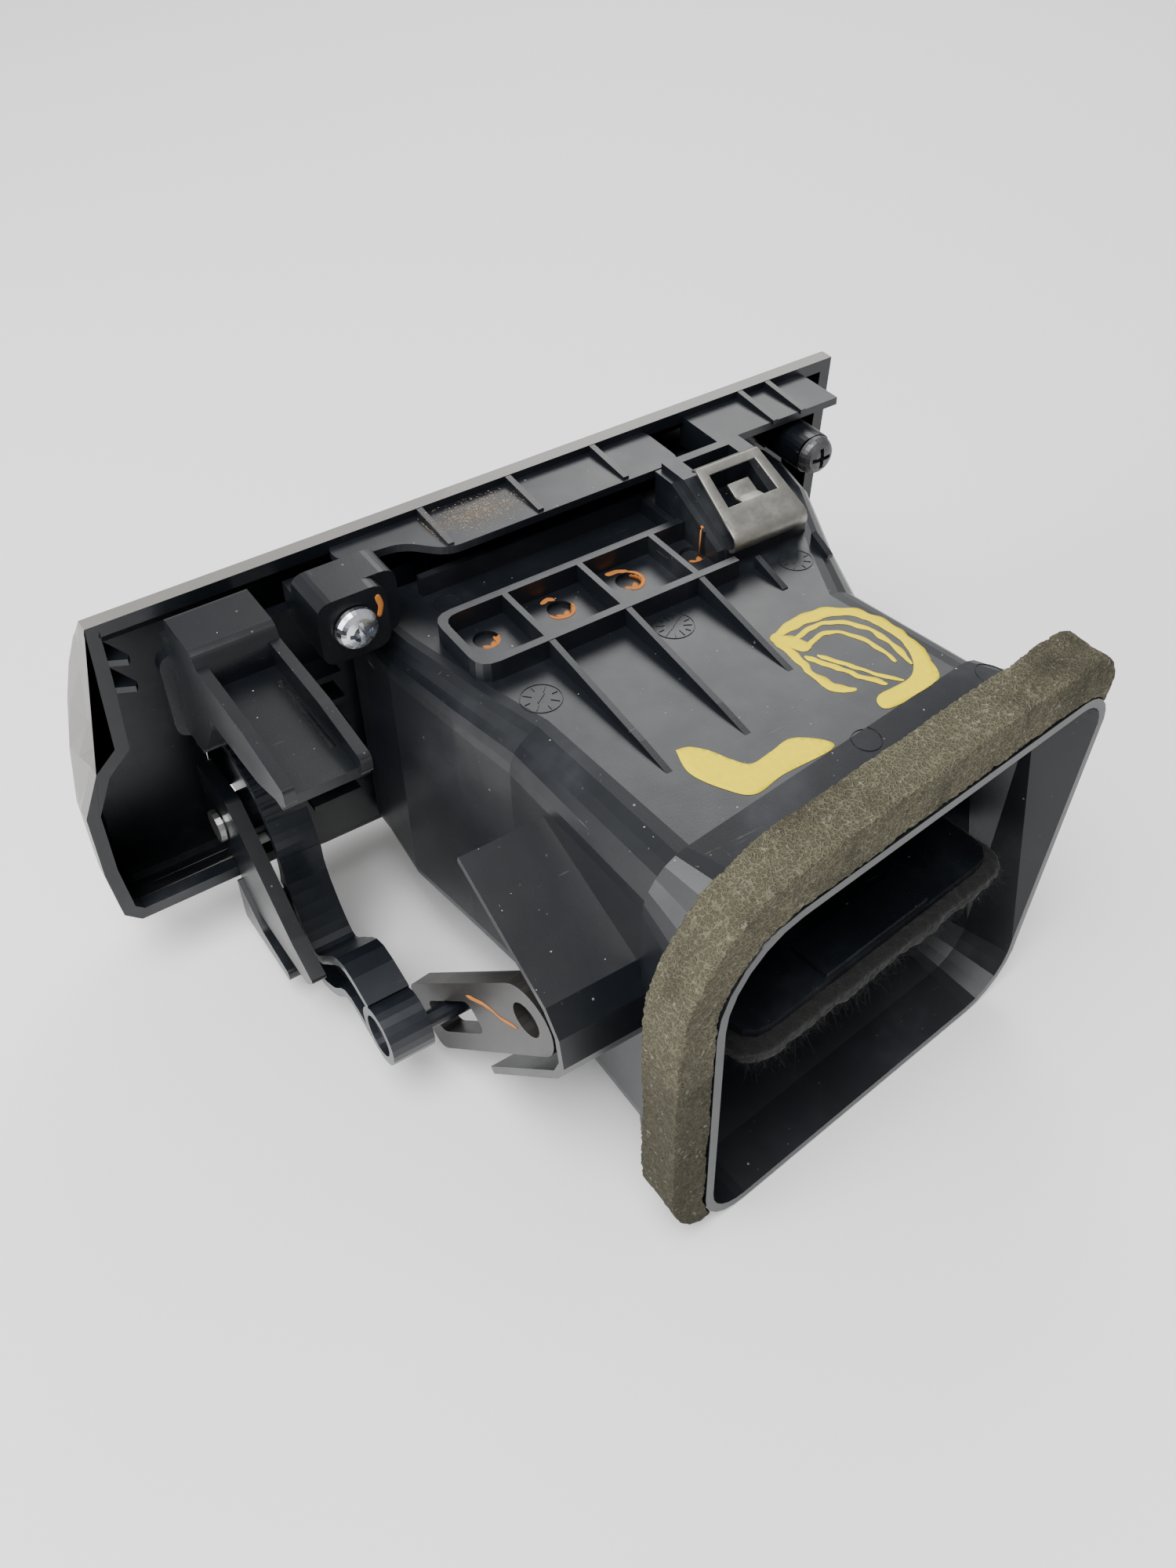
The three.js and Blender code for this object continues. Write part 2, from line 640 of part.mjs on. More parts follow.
function swingLinkBar() {
  const y = SWING_PIVOT_Y - SWING_LINK_ARM;
  const outline = roundedBox(swingX(0) - 2.4, swingX(SWING_VANES - 1) + 2.4, y - LINK_HALF, y + LINK_HALF, 1.5);
  const bar = runZ(outline, SWING_TOP + GAP, SWING_TOP + LINK, 3);
  const holes = Array.from({ length: SWING_VANES }, (_, i) =>
    rod("z", LINK_PIN + GAP, SWING_TOP - 1, SWING_TOP + 4, swingX(i), y, 10));
  return cut(bar, ...holes);
}

addMesh("swing_link_bar", swingLinkBar(), plastic(MIDDLE_GREY));

const KNOB_REACH = 11; // ahead of the tilting pivot
const KNOB_HALF = 8; // half of the knob's width

// The slider rides on the middle tilting vane, and its fork holds the leading swinging vane.
function sliderKnob() {
  const z = tiltZ((TILT_VANES - 1) / 2);
  const y = TILT_PIVOT_Y;
  const front = y - KNOB_REACH;
  const back = y + 5.6;
  const side = softPolygon([[front, z - 3.2], [back, z - 2.6], [back, z + 2.6], [front, z + 3.2]], 1.6);
  const body = runX(side, MIDDLE_X - KNOB_HALF, MIDDLE_X + KNOB_HALF, 3);
  const channel = block(MIDDLE_X - KNOB_HALF - 2, MIDDLE_X + KNOB_HALF + 2, y - TILT_FRONT - GAP,
    y + TILT_REAR + GAP, z - VANE / 2 - GAP, z + VANE / 2 + GAP);
  const prongs = [-2.9, 1.4].map((dx) =>
    block(MIDDLE_X + dx, MIDDLE_X + dx + 1.5, y + 4.9, y + 9.6, z - 1.8, z + 1.8));
  const grip = [-5, -2.5, 0, 2.5, 5].map((dx) =>
    block(MIDDLE_X + dx - 0.4, MIDDLE_X + dx + 0.4, front - 0.5, front + 1, z - 2.4, z + 2.4));
  return join(cut(body, channel), ...prongs, ...grip);
}

addMesh("slider_knob", sliderKnob(), plastic(0x3a3b3d, 0.45));

// ---------------------------------------------------------------- thumbwheel lever

// A smooth line through (y, z) points, as count short straight pieces.
function smoothLine(points, count) {
  const curve = new THREE.SplineCurve(points.map(([a, b]) => new THREE.Vector2(a, b)));
  return curve.getPoints(count).map((p) => [p.x, p.y]);
}

// The arm's upper and lower lines, from the wheel's rim to the end loop.
const ARM_TOP = smoothLine(
  [[-28.5, 32], [-27, 25], [-22, 17], [-17, 13.8], [-11, 19], [-3, 25.5], [7, 23.6]],
  20,
);
const ARM_BOTTOM = smoothLine([[-31.5, 19], [-27, 10.5], [-18, 7], [-10, 10.5], [-3, 16.5], [6, 14.5]], 18);
const LOOP = 6; // radius of the arm's rounded end

function leverBody() {
  const middle = (LEVER_LEFT + LEVER_RIGHT) / 2;
  const from = THREE.MathUtils.degToRad(-20);
  const to = THREE.MathUtils.degToRad(200);
  const rim = new THREE.Shape();
  rim.absarc(WHEEL_Y, WHEEL_Z, WHEEL, from, to, false);
  rim.absarc(WHEEL_Y, WHEEL_Z, WHEEL - FLANGE, to, from, true);
  const disc = new THREE.Shape();
  disc.absarc(WHEEL_Y, WHEEL_Z, WHEEL - 0.5, from, to, false);
  disc.lineTo(WHEEL_Y, WHEEL_Z - 6);
  const loop = (radius) => rod("x", radius, LEVER_RIGHT, LEVER_LEFT, PIN_Y - 2, PIN_Z, 24);
  const teeth = [];
  for (let degrees = 36; degrees <= 200; degrees += 8) {
    const turn = THREE.MathUtils.degToRad(degrees);
    const y = WHEEL_Y + WHEEL * Math.cos(turn);
    const z = WHEEL_Z + WHEEL * Math.sin(turn);
    teeth.push(rod("x", TOOTH, LEVER_RIGHT, LEVER_LEFT, y, z, 6));
  }
  return join(
    runX(rim, LEVER_RIGHT, LEVER_LEFT, 22),
    runX(disc, middle - WEB / 2, middle + WEB / 2, 22),
    rod("x", 5, LEVER_RIGHT, LEVER_LEFT, WHEEL_Y, WHEEL_Z, 20),
    runX(polygon([...ARM_TOP, ...ARM_BOTTOM.slice().reverse()]), middle - WEB / 2, middle + WEB / 2),
    band(ARM_TOP, FLANGE, LEVER_RIGHT, LEVER_LEFT),
    band(ARM_BOTTOM, FLANGE, LEVER_RIGHT, LEVER_LEFT),
    cut(loop(LOOP), loop(LOOP - FLANGE)),
    rod("x", LOOP - 0.5, middle - WEB, LEVER_LEFT - 1.2, PIN_Y - 2, PIN_Z, 24),
    rod("x", PIN + 1.6, LEVER_RIGHT, middle, PIN_Y, PIN_Z, SMOOTH),
    rod("x", PIN, SHAFT_X - 3, middle, PIN_Y, PIN_Z, SMOOTH),
    ...teeth,
  );
}

addMesh(
  "thumbwheel_lever",
  cut(leverBody(), rod("x", AXLE + GAP, LEVER_RIGHT - 1, LEVER_LEFT + 1, WHEEL_Y, WHEEL_Z)),
  plastic(0x2f3134, 0.5),
);

addMesh("thumbwheel_axle", join(
  rod("x", AXLE, LEVER_RIGHT - 4.2, LEVER_LEFT + 5.2, WHEEL_Y, WHEEL_Z),
  rod("x", AXLE + 1.4, LEVER_LEFT + 4.9, LEVER_LEFT + 6.1, WHEEL_Y, WHEEL_Z),
), metal(0xb8bbbd));

// ---------------------------------------------------------------- duct

const CORNER_STEPS = 6; // straight pieces in a rounded corner of the duct

// One rounded section of the duct. y is at x = 0, and yaw turns the section's plane.
function section({ y, yaw = 0, left, right, slant = 0, top, bottom, radii }, inset) {
  const [r1, r2, r3, r4] = radii.map((r) => Math.max(r - inset, 0.6));
  const corners = [
    [left - inset - r1, top - inset - r1, r1],
    [right + inset + r2, top - inset - r2, r2],
    [right + slant + inset + r3, bottom + inset + r3, r3],
    [left - inset - r4, bottom + inset + r4, r4],
  ];
  return corners.flatMap(([x, z, r], corner) =>
    Array.from({ length: CORNER_STEPS + 1 }, (_, i) => {
      const turn = (Math.PI / 2) * (corner + i / CORNER_STEPS);
      const px = x + r * Math.cos(turn);
      return new THREE.Vector3(px, y + px * Math.tan(yaw), z + r * Math.sin(turn));
    }));
}

const lipPlane = LIP_Y - LIP_X * Math.tan(YAW); // the lip's plane at x = 0
const seamPlane = lipPlane - COLLAR / Math.cos(YAW);
const SLEEVE = HOUSING_WALL + GAP + WALL; // from the vane window to the outside of the duct
const FRONT_SECTION = {
  y: -37,
  left: WINDOW_LEFT + SLEEVE,
  right: WINDOW_RIGHT - SLEEVE,
  top: DUCT_TOP,
  bottom: WINDOW_BOTTOM - SLEEVE,
  radii: [5, 5, 5, 5],
};
const SEAM = {
  y: seamPlane,
  yaw: YAW,
  left: 23.5,
  right: -56,
  slant: 2,
  top: DUCT_TOP - 0.4,
  bottom: 4,
  radii: DUCT_CORNERS,
};
const LIP = {
  y: lipPlane,
  yaw: YAW,
  left: LIP_LEFT,
  right: LIP_LEFT - LIP_WIDTH,
  slant: LIP_SLANT,
  top: LIP_TOP,
  bottom: LIP_BOTTOM,
  radii: LIP_CORNERS,
};
const DUCT = [
  FRONT_SECTION,
  { ...FRONT_SECTION, y: HOUSING_BACK + 1 },
  { y: -22, left: 31, right: -65.5, top: DUCT_TOP, bottom: 14, radii: [6, 6, 6, 6] },
  { y: -4, left: 28, right: -57, top: DUCT_TOP, bottom: 12, radii: [7, 7, 7, 7] },
  { y: 10, left: 25.2, right: -51.5, top: DUCT_TOP, bottom: 9, radii: [8, 8, 8, 8] },
  SEAM,
];

function grow(s, by) {
  return { ...s, left: s.left + by, right: s.right - by, top: s.top + by * 0.6, bottom: s.bottom - by };
}

// The section a share t of the way from a to b.
function halfway(a, b, t) {
  const mix = (p, q) => p + (q - p) * t;
  const between = (p, q) => (Array.isArray(p) ? p.map((r, i) => mix(r, q[i])) : mix(p, q));
  return Object.fromEntries(Object.keys(b).map((key) => [key, between(a[key], b[key])]));
}

const collarStart = grow(SEAM, COLLAR_STEP);
const collarMiddle = halfway(collarStart, LIP, 0.5);

const longer = (s, by) => ({ ...s, y: s.y + by });

function ductShell() {
  const outer = join(
    loft([...DUCT, longer(SEAM, 1.3)].map((s) => section(s, 0))),
    loft([collarStart, collarMiddle, LIP].map((s) => section(s, 0))),
  );
  const inner = [longer(FRONT_SECTION, -1), ...DUCT, collarMiddle, LIP, longer(LIP, 1)];
  return cut(outer, loft(inner.map((s) => section(s, WALL))));
}

const RIB_ROOT = 0.6; // depth that a rib's foot is sunk into the roof
const THIN_RIB = 1.2; // thickness of the long ribs
const thinRib = (outline, x) => runX(outline, x - THIN_RIB / 2, x + THIN_RIB / 2);

function ductTray() {
  const z0 = DUCT_TOP - RIB_ROOT;
  const z1 = DUCT_TOP + RIB_HEIGHT;
  const pieces = [
    block(TRAY_RIGHT, TRAY_LEFT - 4, TRAY_FRONT - RIB / 2, TRAY_FRONT + RIB / 2, z0, z1),
    block(TRAY_RIGHT - 1, TRAY_LEFT - 4, TRAY_REAR - RIB / 2, TRAY_REAR + RIB / 2, z0, z1),
  ];
  const round = roundedBox(TRAY_LEFT - 12, TRAY_LEFT, TRAY_FRONT - RIB / 2, TRAY_REAR + RIB / 2, 4);
  const hole = roundedBox(TRAY_LEFT - 14, TRAY_LEFT - RIB, TRAY_FRONT + RIB / 2, TRAY_REAR - RIB / 2, 3);
  const open = block(TRAY_LEFT - 13, TRAY_LEFT - 5, TRAY_FRONT + RIB / 2, TRAY_REAR - RIB / 2, z0 - 1, z1 + 1);
  pieces.push(cut(runZ(round, z0, z1, 4), runZ(hole, z0 - 1, z1 + 1, 4), open));
  RIB_TIPS.forEach((tip, i) => {
    const x = TRAY_LEFT - 14.3 - TRAY_CELLS * i;
    const rib = polygon([
      [TRAY_FRONT, z0],
      [tip, DUCT_TOP - 0.3],
      [tip - 8, DUCT_TOP + 0.9],
      [TRAY_REAR, z1],
      [TRAY_FRONT, z1],
    ]);
    pieces.push(thinRib(rib, x));
  });
  return join(...pieces);
}

// The raised ridge ahead of the tray, and the short ribs that run back from the clip's tower.
function ductRidge() {
  const z0 = DUCT_TOP - RIB_ROOT;
  const front = -33.5;
  const ridge = block(TRAY_RIGHT, TRAY_LEFT - 4, front, front + RIB, z0, DUCT_TOP + RIB_HEIGHT);
  const end = block(TRAY_RIGHT, TRAY_RIGHT + RIB, front, TRAY_FRONT, z0, DUCT_TOP + RIB_HEIGHT - 1);
  const behindClip = -4.6;
  const ribs = [[-38, 4], [-51.5, 0.6]].map(([x, tip]) =>
    thinRib(polygon([[behindClip, z0], [tip, z0], [tip, DUCT_TOP + 0.2], [behindClip, DUCT_TOP + 2.4]]), x));
  return [ridge, end, ...ribs];
}

const TRAY_HOLES = [14.7, -0.8, -15.8, -30.4]; // blind holes in the tray's floor, along X
const trayHoles = TRAY_HOLES.map((x) => rod("z", 2.5, DUCT_TOP - 0.9, DUCT_TOP + 5, x, -14.5));

// The wedge that carries the spring clip.
function clipTower() {
  const start = SHELF_BACK + GAP;
  const wedge = polygon([
    [start, DUCT_TOP - 0.6],
    [-8, DUCT_TOP - 0.6],
    [-8, DUCT_TOP + 3.5],
    [-10, DUCT_TOP + 5.4],
    [-22, DUCT_TOP + 11.3],
    [start, DUCT_TOP + 11.3],
  ]);
  const body = runX(wedge, CLIP_RIGHT - 0.5, CLIP_LEFT + 0.5);
  const cheeks = [CLIP_LEFT + 0.5, CLIP_RIGHT - 1.9].map((x) =>
    runX(polygon([
      [start, DUCT_TOP - 0.6],
      [-8.5, DUCT_TOP - 0.6],
      [-9, DUCT_TOP + 3],
      [-24, DUCT_TOP + 10],
      [start, DUCT_TOP + 10],
    ]), x, x + 1.4));
  const pocket = block(CLIP_RIGHT + 3, CLIP_LEFT - 3, start + 2, -12, DUCT_TOP + 2, DUCT_TOP + 14);
  return join(cut(body, pocket), ...cheeks);
}

// The curved guard over the crank, on the duct's +X side.
const GUARD_OUTER = 41;
function crankGuard() {
  const line = [[19.5, 65], [45, 53], [48.4, 49], [49.4, 43], [47.5, 38.5], [24, 12]];
  return band(line, 1.5, 22.8, GUARD_OUTER);
}

// The damper's own frame: x runs along its axis, and its outer end is the origin.
const damperFrame = new THREE.Matrix4().makeRotationZ(YAW).setPosition(SHAFT_X, SHAFT_Y, SHAFT_Z);
const toDamper = (body) => body.transform(damperFrame.elements);

const ductBores = [
  toDamper(rod("x", SHAFT + GAP, -40, 0, 0, 0)),
  toDamper(rod("x", SHAFT + GAP, -100, -80, 0, 0)),
];
const ductBosses = [
  toDamper(rod("x", SHAFT + 2.4, -17.5, -12.5, 0, 0, 20)),
  toDamper(rod("x", SHAFT + 2.4, -98, -93.2, 0, 0, 20)),
];

const duct = join(ductShell(), ductTray(), ...ductRidge(), clipTower(), crankGuard(), ...ductBosses);
addMesh("duct_housing", cut(duct, ...ductBores, ...trayHoles), plastic(MIDDLE_GREY));

// ---------------------------------------------------------------- foam

// The strip lies on the upper and +X side of the collar, and its faces follow the yawed lip.
function foamBody() {
  const flatLip = { ...LIP, y: 0, yaw: 0, right: LIP.right + 0.5 };
  const around = section({
    ...flatLip,
    left: LIP.left + FOAM_SIDE,
    top: LIP_TOP + FOAM_TOP,
    radii: LIP_CORNERS.map((radius, i) => (i === 0 || i === 3 ? radius + FOAM_SIDE : radius)),
  }, 0);
  const within = section({ ...flatLip, left: LIP.left - 4, top: LIP_TOP - 4, right: LIP.right - 20 }, 0);
  const outline = (points) => polygon(points.map((p) => [p.x, p.z]));
  const ring = cut(
    runY(outline(around), -FOAM_DEPTH, 0),
    runY(outline(within), -FOAM_DEPTH - 1, 1),
    block(-200, 200, -50, 50, -50, LIP_BOTTOM + 4),
  );
  const followed = ring.warp((p) => {
    p[1] = lipPlane + p[0] * Math.tan(YAW) + p[1] / Math.cos(YAW);
  });
  const beyond = { ...LIP, y: LIP.y + 5 };
  const collar = loft([collarStart, collarMiddle, LIP, beyond].map((s) => section(s, -GAP)));
  return cut(followed, collar);
}

addMesh("lip_foam", foamBody(), plastic(0x6f6a56, 1));

// ---------------------------------------------------------------- damper

const BLADE_X0 = -BLADE_FAR;
const BLADE_X1 = -BLADE_NEAR;

function damperBlade() {
  const plate = runZ(roundedBox(BLADE_X0, BLADE_X1, -BLADE_FRONT, BLADE_REAR, 5), -BLADE / 2, BLADE / 2, 3);
  const middle = (BLADE_X0 + BLADE_X1) / 2;
  const pad = block(middle - 13, middle + 13, BLADE_REAR - 8.5, BLADE_REAR - 0.3, 0, BLADE / 2 + 1.2);
  return join(
    plate,
    pad,
    rod("x", SHAFT, -22, -2, 0, 0),
    rod("x", SHAFT, BLADE_X1 - 8, -21, 0, 0),
    rod("x", SHAFT, -97, BLADE_X0 + 8, 0, 0),
  );
}

const shaftNotch = (x) => block(x - 9, x + 9, -SHAFT - 0.4, SHAFT + 0.4, -9, 9);

function feltSheet() {
  const m = FELT_MARGIN;
  const top = -BLADE / 2 - GAP;
  const outline = roundedBox(BLADE_X0 - m, BLADE_X1 + m, -BLADE_FRONT - m, BLADE_REAR + m, 6);
  const sheet = runZ(outline, top - FELT, top, 3);
  return cut(sheet, shaftNotch(BLADE_X0), shaftNotch(BLADE_X1));
}

function clampPlate() {
  const top = -BLADE / 2 - 2 * GAP - FELT;
  const outline = roundedBox(BLADE_X0 + 1, BLADE_X1 - 1, -BLADE_FRONT + 1, BLADE_REAR - 1, 4);
  return cut(runZ(outline, top - 1.5, top, 3), shaftNotch(BLADE_X0), shaftNotch(BLADE_X1));
}

addMesh("damper_blade", toDamper(damperBlade()), plastic(0x26282b, 0.5));
addMesh("damper_felt", toDamper(feltSheet()), plastic(0x1c1c1b, 1));
addMesh("damper_clamp_plate", toDamper(clampPlate()), plastic(0x26282b, 0.5));

// The slope of the crank's slot at rest, which splits the pin's play evenly over its travel.
function slotSlope() {
  const arm = new THREE.Vector2(PIN_Y - WHEEL_Y, PIN_Z - WHEEL_Z);
  const errors = [];
  for (let degrees = 0; degrees <= LEVER_TURN; degrees++) {
    const turn = THREE.MathUtils.degToRad(degrees);
    const pin = arm.clone().rotateAround(new THREE.Vector2(), turn);
    const slope = Math.atan2(SHAFT_Z - WHEEL_Z - pin.y, SHAFT_Y - WHEEL_Y - pin.x);
    errors.push(slope - CRANK_RATIO * turn);
  }
  return (Math.max(...errors) + Math.min(...errors)) / 2;
}

// The crank is drawn along -Y from its hub, then turned about the damper's axis.
function crankBody() {
  const plate = new THREE.Shape();
  plate.absarc(0, 0, CRANK_HUB, Math.PI / 2, -Math.PI / 2, true);
  plate.lineTo(-CRANK_LENGTH + 3, -CRANK_HUB);
  plate.quadraticCurveTo(-CRANK_LENGTH, -CRANK_HUB, -CRANK_LENGTH, -CRANK_HUB + 3);
  plate.lineTo(-CRANK_LENGTH, CRANK_HUB - 3);
  plate.quadraticCurveTo(-CRANK_LENGTH, CRANK_HUB, -CRANK_LENGTH + 3, CRANK_HUB);
  plate.closePath();
  const slot = roundedBox(-SLOT_FAR, -SLOT_NEAR, -SLOT_HALF, SLOT_HALF, 2.5);
  const flat = cut(
    runX(plate, -CRANK, 0, 8),
    runX(slot, -CRANK - 1, 1, 4),
    rod("x", SHAFT + GAP, -CRANK - 1, 1, 0, 0),
  );
  return flat.transform(new THREE.Matrix4().makeRotationX(slotSlope()).elements);
}

addMesh("damper_crank", toDamper(crankBody()), plastic(0x4a4844, 0.5));

// ---------------------------------------------------------------- clip and screws

// A spring clip bent from one strip: it rolls round the tower's end and runs up the slope.
function springClip() {
  const line = [
    [-7.5, DUCT_TOP + 0.9],
    [-5.6, DUCT_TOP + 2.2],
    [-5.6, DUCT_TOP + 4.4],
    [-8, DUCT_TOP + 6.6],
    [-21.5, DUCT_TOP + 13.4],
  ];
  const sheet = band(line, 0.8, CLIP_RIGHT, CLIP_LEFT);
  const window = block(CLIP_RIGHT + 5, CLIP_LEFT - 5, -20, -10.5, DUCT_TOP + 6.6, DUCT_TOP + 20);
  const tongue = band([[-10, DUCT_TOP + 7], [-17, DUCT_TOP + 8.2]], 0.8, CLIP_RIGHT + 6.4, CLIP_LEFT - 6.4);
  return join(cut(sheet, window), tongue);
}

addMesh("spring_clip", springClip().translate([0, 0.4, 0]), metal(0x8b8c87, 0.5));

// The head's half profile, as shares of its radius and heights.
const HEAD_PROFILE = [[0, 0], [1, 0], [0.98, 0.7], [0.88, 1.5], [0.7, 2.1], [0.4, 2.5], [0, 2.6]];

// A pan-head screw with a cross recess, its head resting on a face that looks towards +Y.
function screwBody() {
  const profile = HEAD_PROFILE.map(([share, y]) => new THREE.Vector2(share * SCREW_HEAD, y));
  const head = solid(new THREE.LatheGeometry(profile, 28));
  const shank = rod("y", 1.35, -10, 0.5, 0, 0, 12);
  const cross = [block(-2.2, 2.2, 1.2, 4, -0.45, 0.45), block(-0.45, 0.45, 1.2, 4, -2.2, 2.2)];
  return cut(join(head, shank), ...cross);
}

const nearScrew = addMesh("screw_near", screwBody(), metal(0xc4c7ca, 0.3));
nearScrew.position.set(SCREW_X, BOSS_FACE + GAP, SCREW_Z);
const farScrew = addMesh("screw_far", screwBody(), metal(0xc4c7ca, 0.3));
farScrew.position.set(FAR_SCREW_X, FAR_FACE + GAP, FAR_SCREW_Z);

export default vent;
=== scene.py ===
"""Looks for a dashboard side air vent: plastics, foam lip, felt seal, spring clip, marks and wear."""

import math
import random

import bmesh
import bpy
import numpy as np
from bpy.props import (
    FloatProperty,
    FloatVectorProperty,
    IntProperty,
    PointerProperty,
)
from mathutils import Euler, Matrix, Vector, noise
from mathutils.bvhtree import BVHTree
from mathutils.geometry import delaunay_2d_cdt


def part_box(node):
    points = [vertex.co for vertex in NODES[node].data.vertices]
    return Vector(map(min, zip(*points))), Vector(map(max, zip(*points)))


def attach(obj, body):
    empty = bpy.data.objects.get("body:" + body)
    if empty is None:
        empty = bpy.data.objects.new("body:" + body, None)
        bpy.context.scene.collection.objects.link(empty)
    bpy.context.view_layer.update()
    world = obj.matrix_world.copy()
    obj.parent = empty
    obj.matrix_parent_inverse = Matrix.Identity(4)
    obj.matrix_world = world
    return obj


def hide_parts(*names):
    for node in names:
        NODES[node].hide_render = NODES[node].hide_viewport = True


bl_info = {
    "name": "Dashboard Air Vent Looks",
    "version": (1, 0, 0),
    "blender": (4, 5, 0),
    "location": "View3D > Sidebar > Air Vent",
    "description": "Dresses the packed air vent with procedural materials and soft pieces",
    "category": "Object",
}

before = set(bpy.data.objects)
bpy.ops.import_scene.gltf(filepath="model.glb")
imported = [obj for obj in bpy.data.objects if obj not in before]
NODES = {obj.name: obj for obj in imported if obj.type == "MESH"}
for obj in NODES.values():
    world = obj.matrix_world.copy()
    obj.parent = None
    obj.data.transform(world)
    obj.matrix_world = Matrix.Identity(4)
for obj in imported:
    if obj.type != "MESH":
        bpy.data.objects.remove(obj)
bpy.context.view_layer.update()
MM = 0.001
YAW = math.radians(7.4)  # turn of the damper's shaft and of the duct's lip
SHAFT_AXIS = Vector((math.cos(YAW), math.sin(YAW), 0))
DUCT_TOP = 76 * MM
DOWN = Vector((0, 0, -1))
FILM = 0.08 * MM  # height of paint above the surface


def mm(x, y, z):
    """A point given in millimetres."""
    return Vector((x * MM, y * MM, z * MM))


# ---------------------------------------------------------------- settings


class VentSettings(bpy.types.PropertyGroup):
    """What a user may change before dressing the vent."""

    plastic_colour: FloatVectorProperty(
        name="Plastic colour",
        description="Colour of the moulded plastic",
        subtype="COLOR",
        size=3,
        default=(0.0048, 0.0062, 0.0088),
    )
    plastic_roughness: FloatProperty(
        name="Plastic roughness",
        description="How dull the moulded plastic is",
        default=0.36,
        min=0.05,
        max=1,
    )
    bezel_colour: FloatVectorProperty(
        name="Bezel paint",
        description="Colour of the bezel's painted outside",
        subtype="COLOR",
        size=3,
        default=(0.165, 0.162, 0.15),
    )
    foam_colour: FloatVectorProperty(
        name="Foam colour",
        description="Colour of the foam strip",
        subtype="COLOR",
        size=3,
        default=(0.118, 0.108, 0.072),
    )
    foam_cell: FloatProperty(
        name="Foam cell",
        description="Size of one foam cell",
        default=0.0008,
        min=0.0002,
        max=0.003,
        unit="LENGTH",
        precision=5,
    )
    felt_colour: FloatVectorProperty(
        name="Felt colour",
        description="Colour of the damper's felt seal",
        subtype="COLOR",
        size=3,
        default=(0.006, 0.0056, 0.0052),
    )
    fibre_length: FloatProperty(
        name="Fibre length",
        description="Length of the felt's loose fibres",
        default=0.0025,
        min=0.0002,
        max=0.004,
        unit="LENGTH",
        precision=5,
    )
    edge_radius: FloatProperty(
        name="Edge radius",
        description="Rounding of the moulded edges",
        default=0.0003,
        min=0.00005,
        max=0.001,
        unit="LENGTH",
        precision=5,
    )
    mark_colour: FloatVectorProperty(
        name="Paint pen colour",
        description="Colour of the broad paint pen marks",
        subtype="COLOR",
        size=3,
        default=(0.84, 0.66, 0.0),
    )
    dab_colour: FloatVectorProperty(
        name="Inspection paint colour",
        description="Colour of the thin inspection dabs",
        subtype="COLOR",
        size=3,
        default=(0.46, 0.165, 0.04),
    )
    dust_count: IntProperty(
        name="Dust flakes",
        description="Number of loose flakes on the part",
        default=130,
        min=0,
        max=2000,
    )
    seed: IntProperty(name="Seed", description="Seed of the wear and dust", default=7)
    light_power: FloatProperty(
        name="Light power",
        description="Power of the main soft light, in watts",
        default=15.0,
        min=0,
        max=200,
    )
    floor_colour: FloatVectorProperty(
        name="Floor colour",
        description="Colour of the floor",
        subtype="COLOR",
        size=3,
        default=(0.96, 0.96, 0.96),
    )


# ---------------------------------------------------------------- shader maths


class Value:
    """One shader value that takes part in ordinary arithmetic."""

    def __init__(self, graph, socket):
        self.graph = graph
        self.socket = socket

    def _math(self, operation, first, second):
        return self.graph.node("ShaderNodeMath", {"operation": operation}, {0: first, 1: second})

    def __add__(self, other):
        return self._math("ADD", self, other)

    def __radd__(self, other):
        return self._math("ADD", other, self)

    def __sub__(self, other):
        return self._math("SUBTRACT", self, other)

    def __rsub__(self, other):
        return self._math("SUBTRACT", other, self)

    def __mul__(self, other):
        return self._math("MULTIPLY", self, other)

    def __rmul__(self, other):
        return self._math("MULTIPLY", other, self)

    def __truediv__(self, other):
        return self._math("DIVIDE", self, other)

    def smaller(self, other):
        return self._math("MINIMUM", self, other)

    def larger(self, other):
        return self._math("MAXIMUM", self, other)

    def ramp(self, low, high, start=0.0, end=1.0):
        """Start at low, end at high, smooth and held outside."""
        inputs = {"Value": self, "From Min": low, "From Max": high, "To Min": start, "To Max": end}
        return self.graph.node("ShaderNodeMapRange", {"interpolation_type": "SMOOTHSTEP"}, inputs)


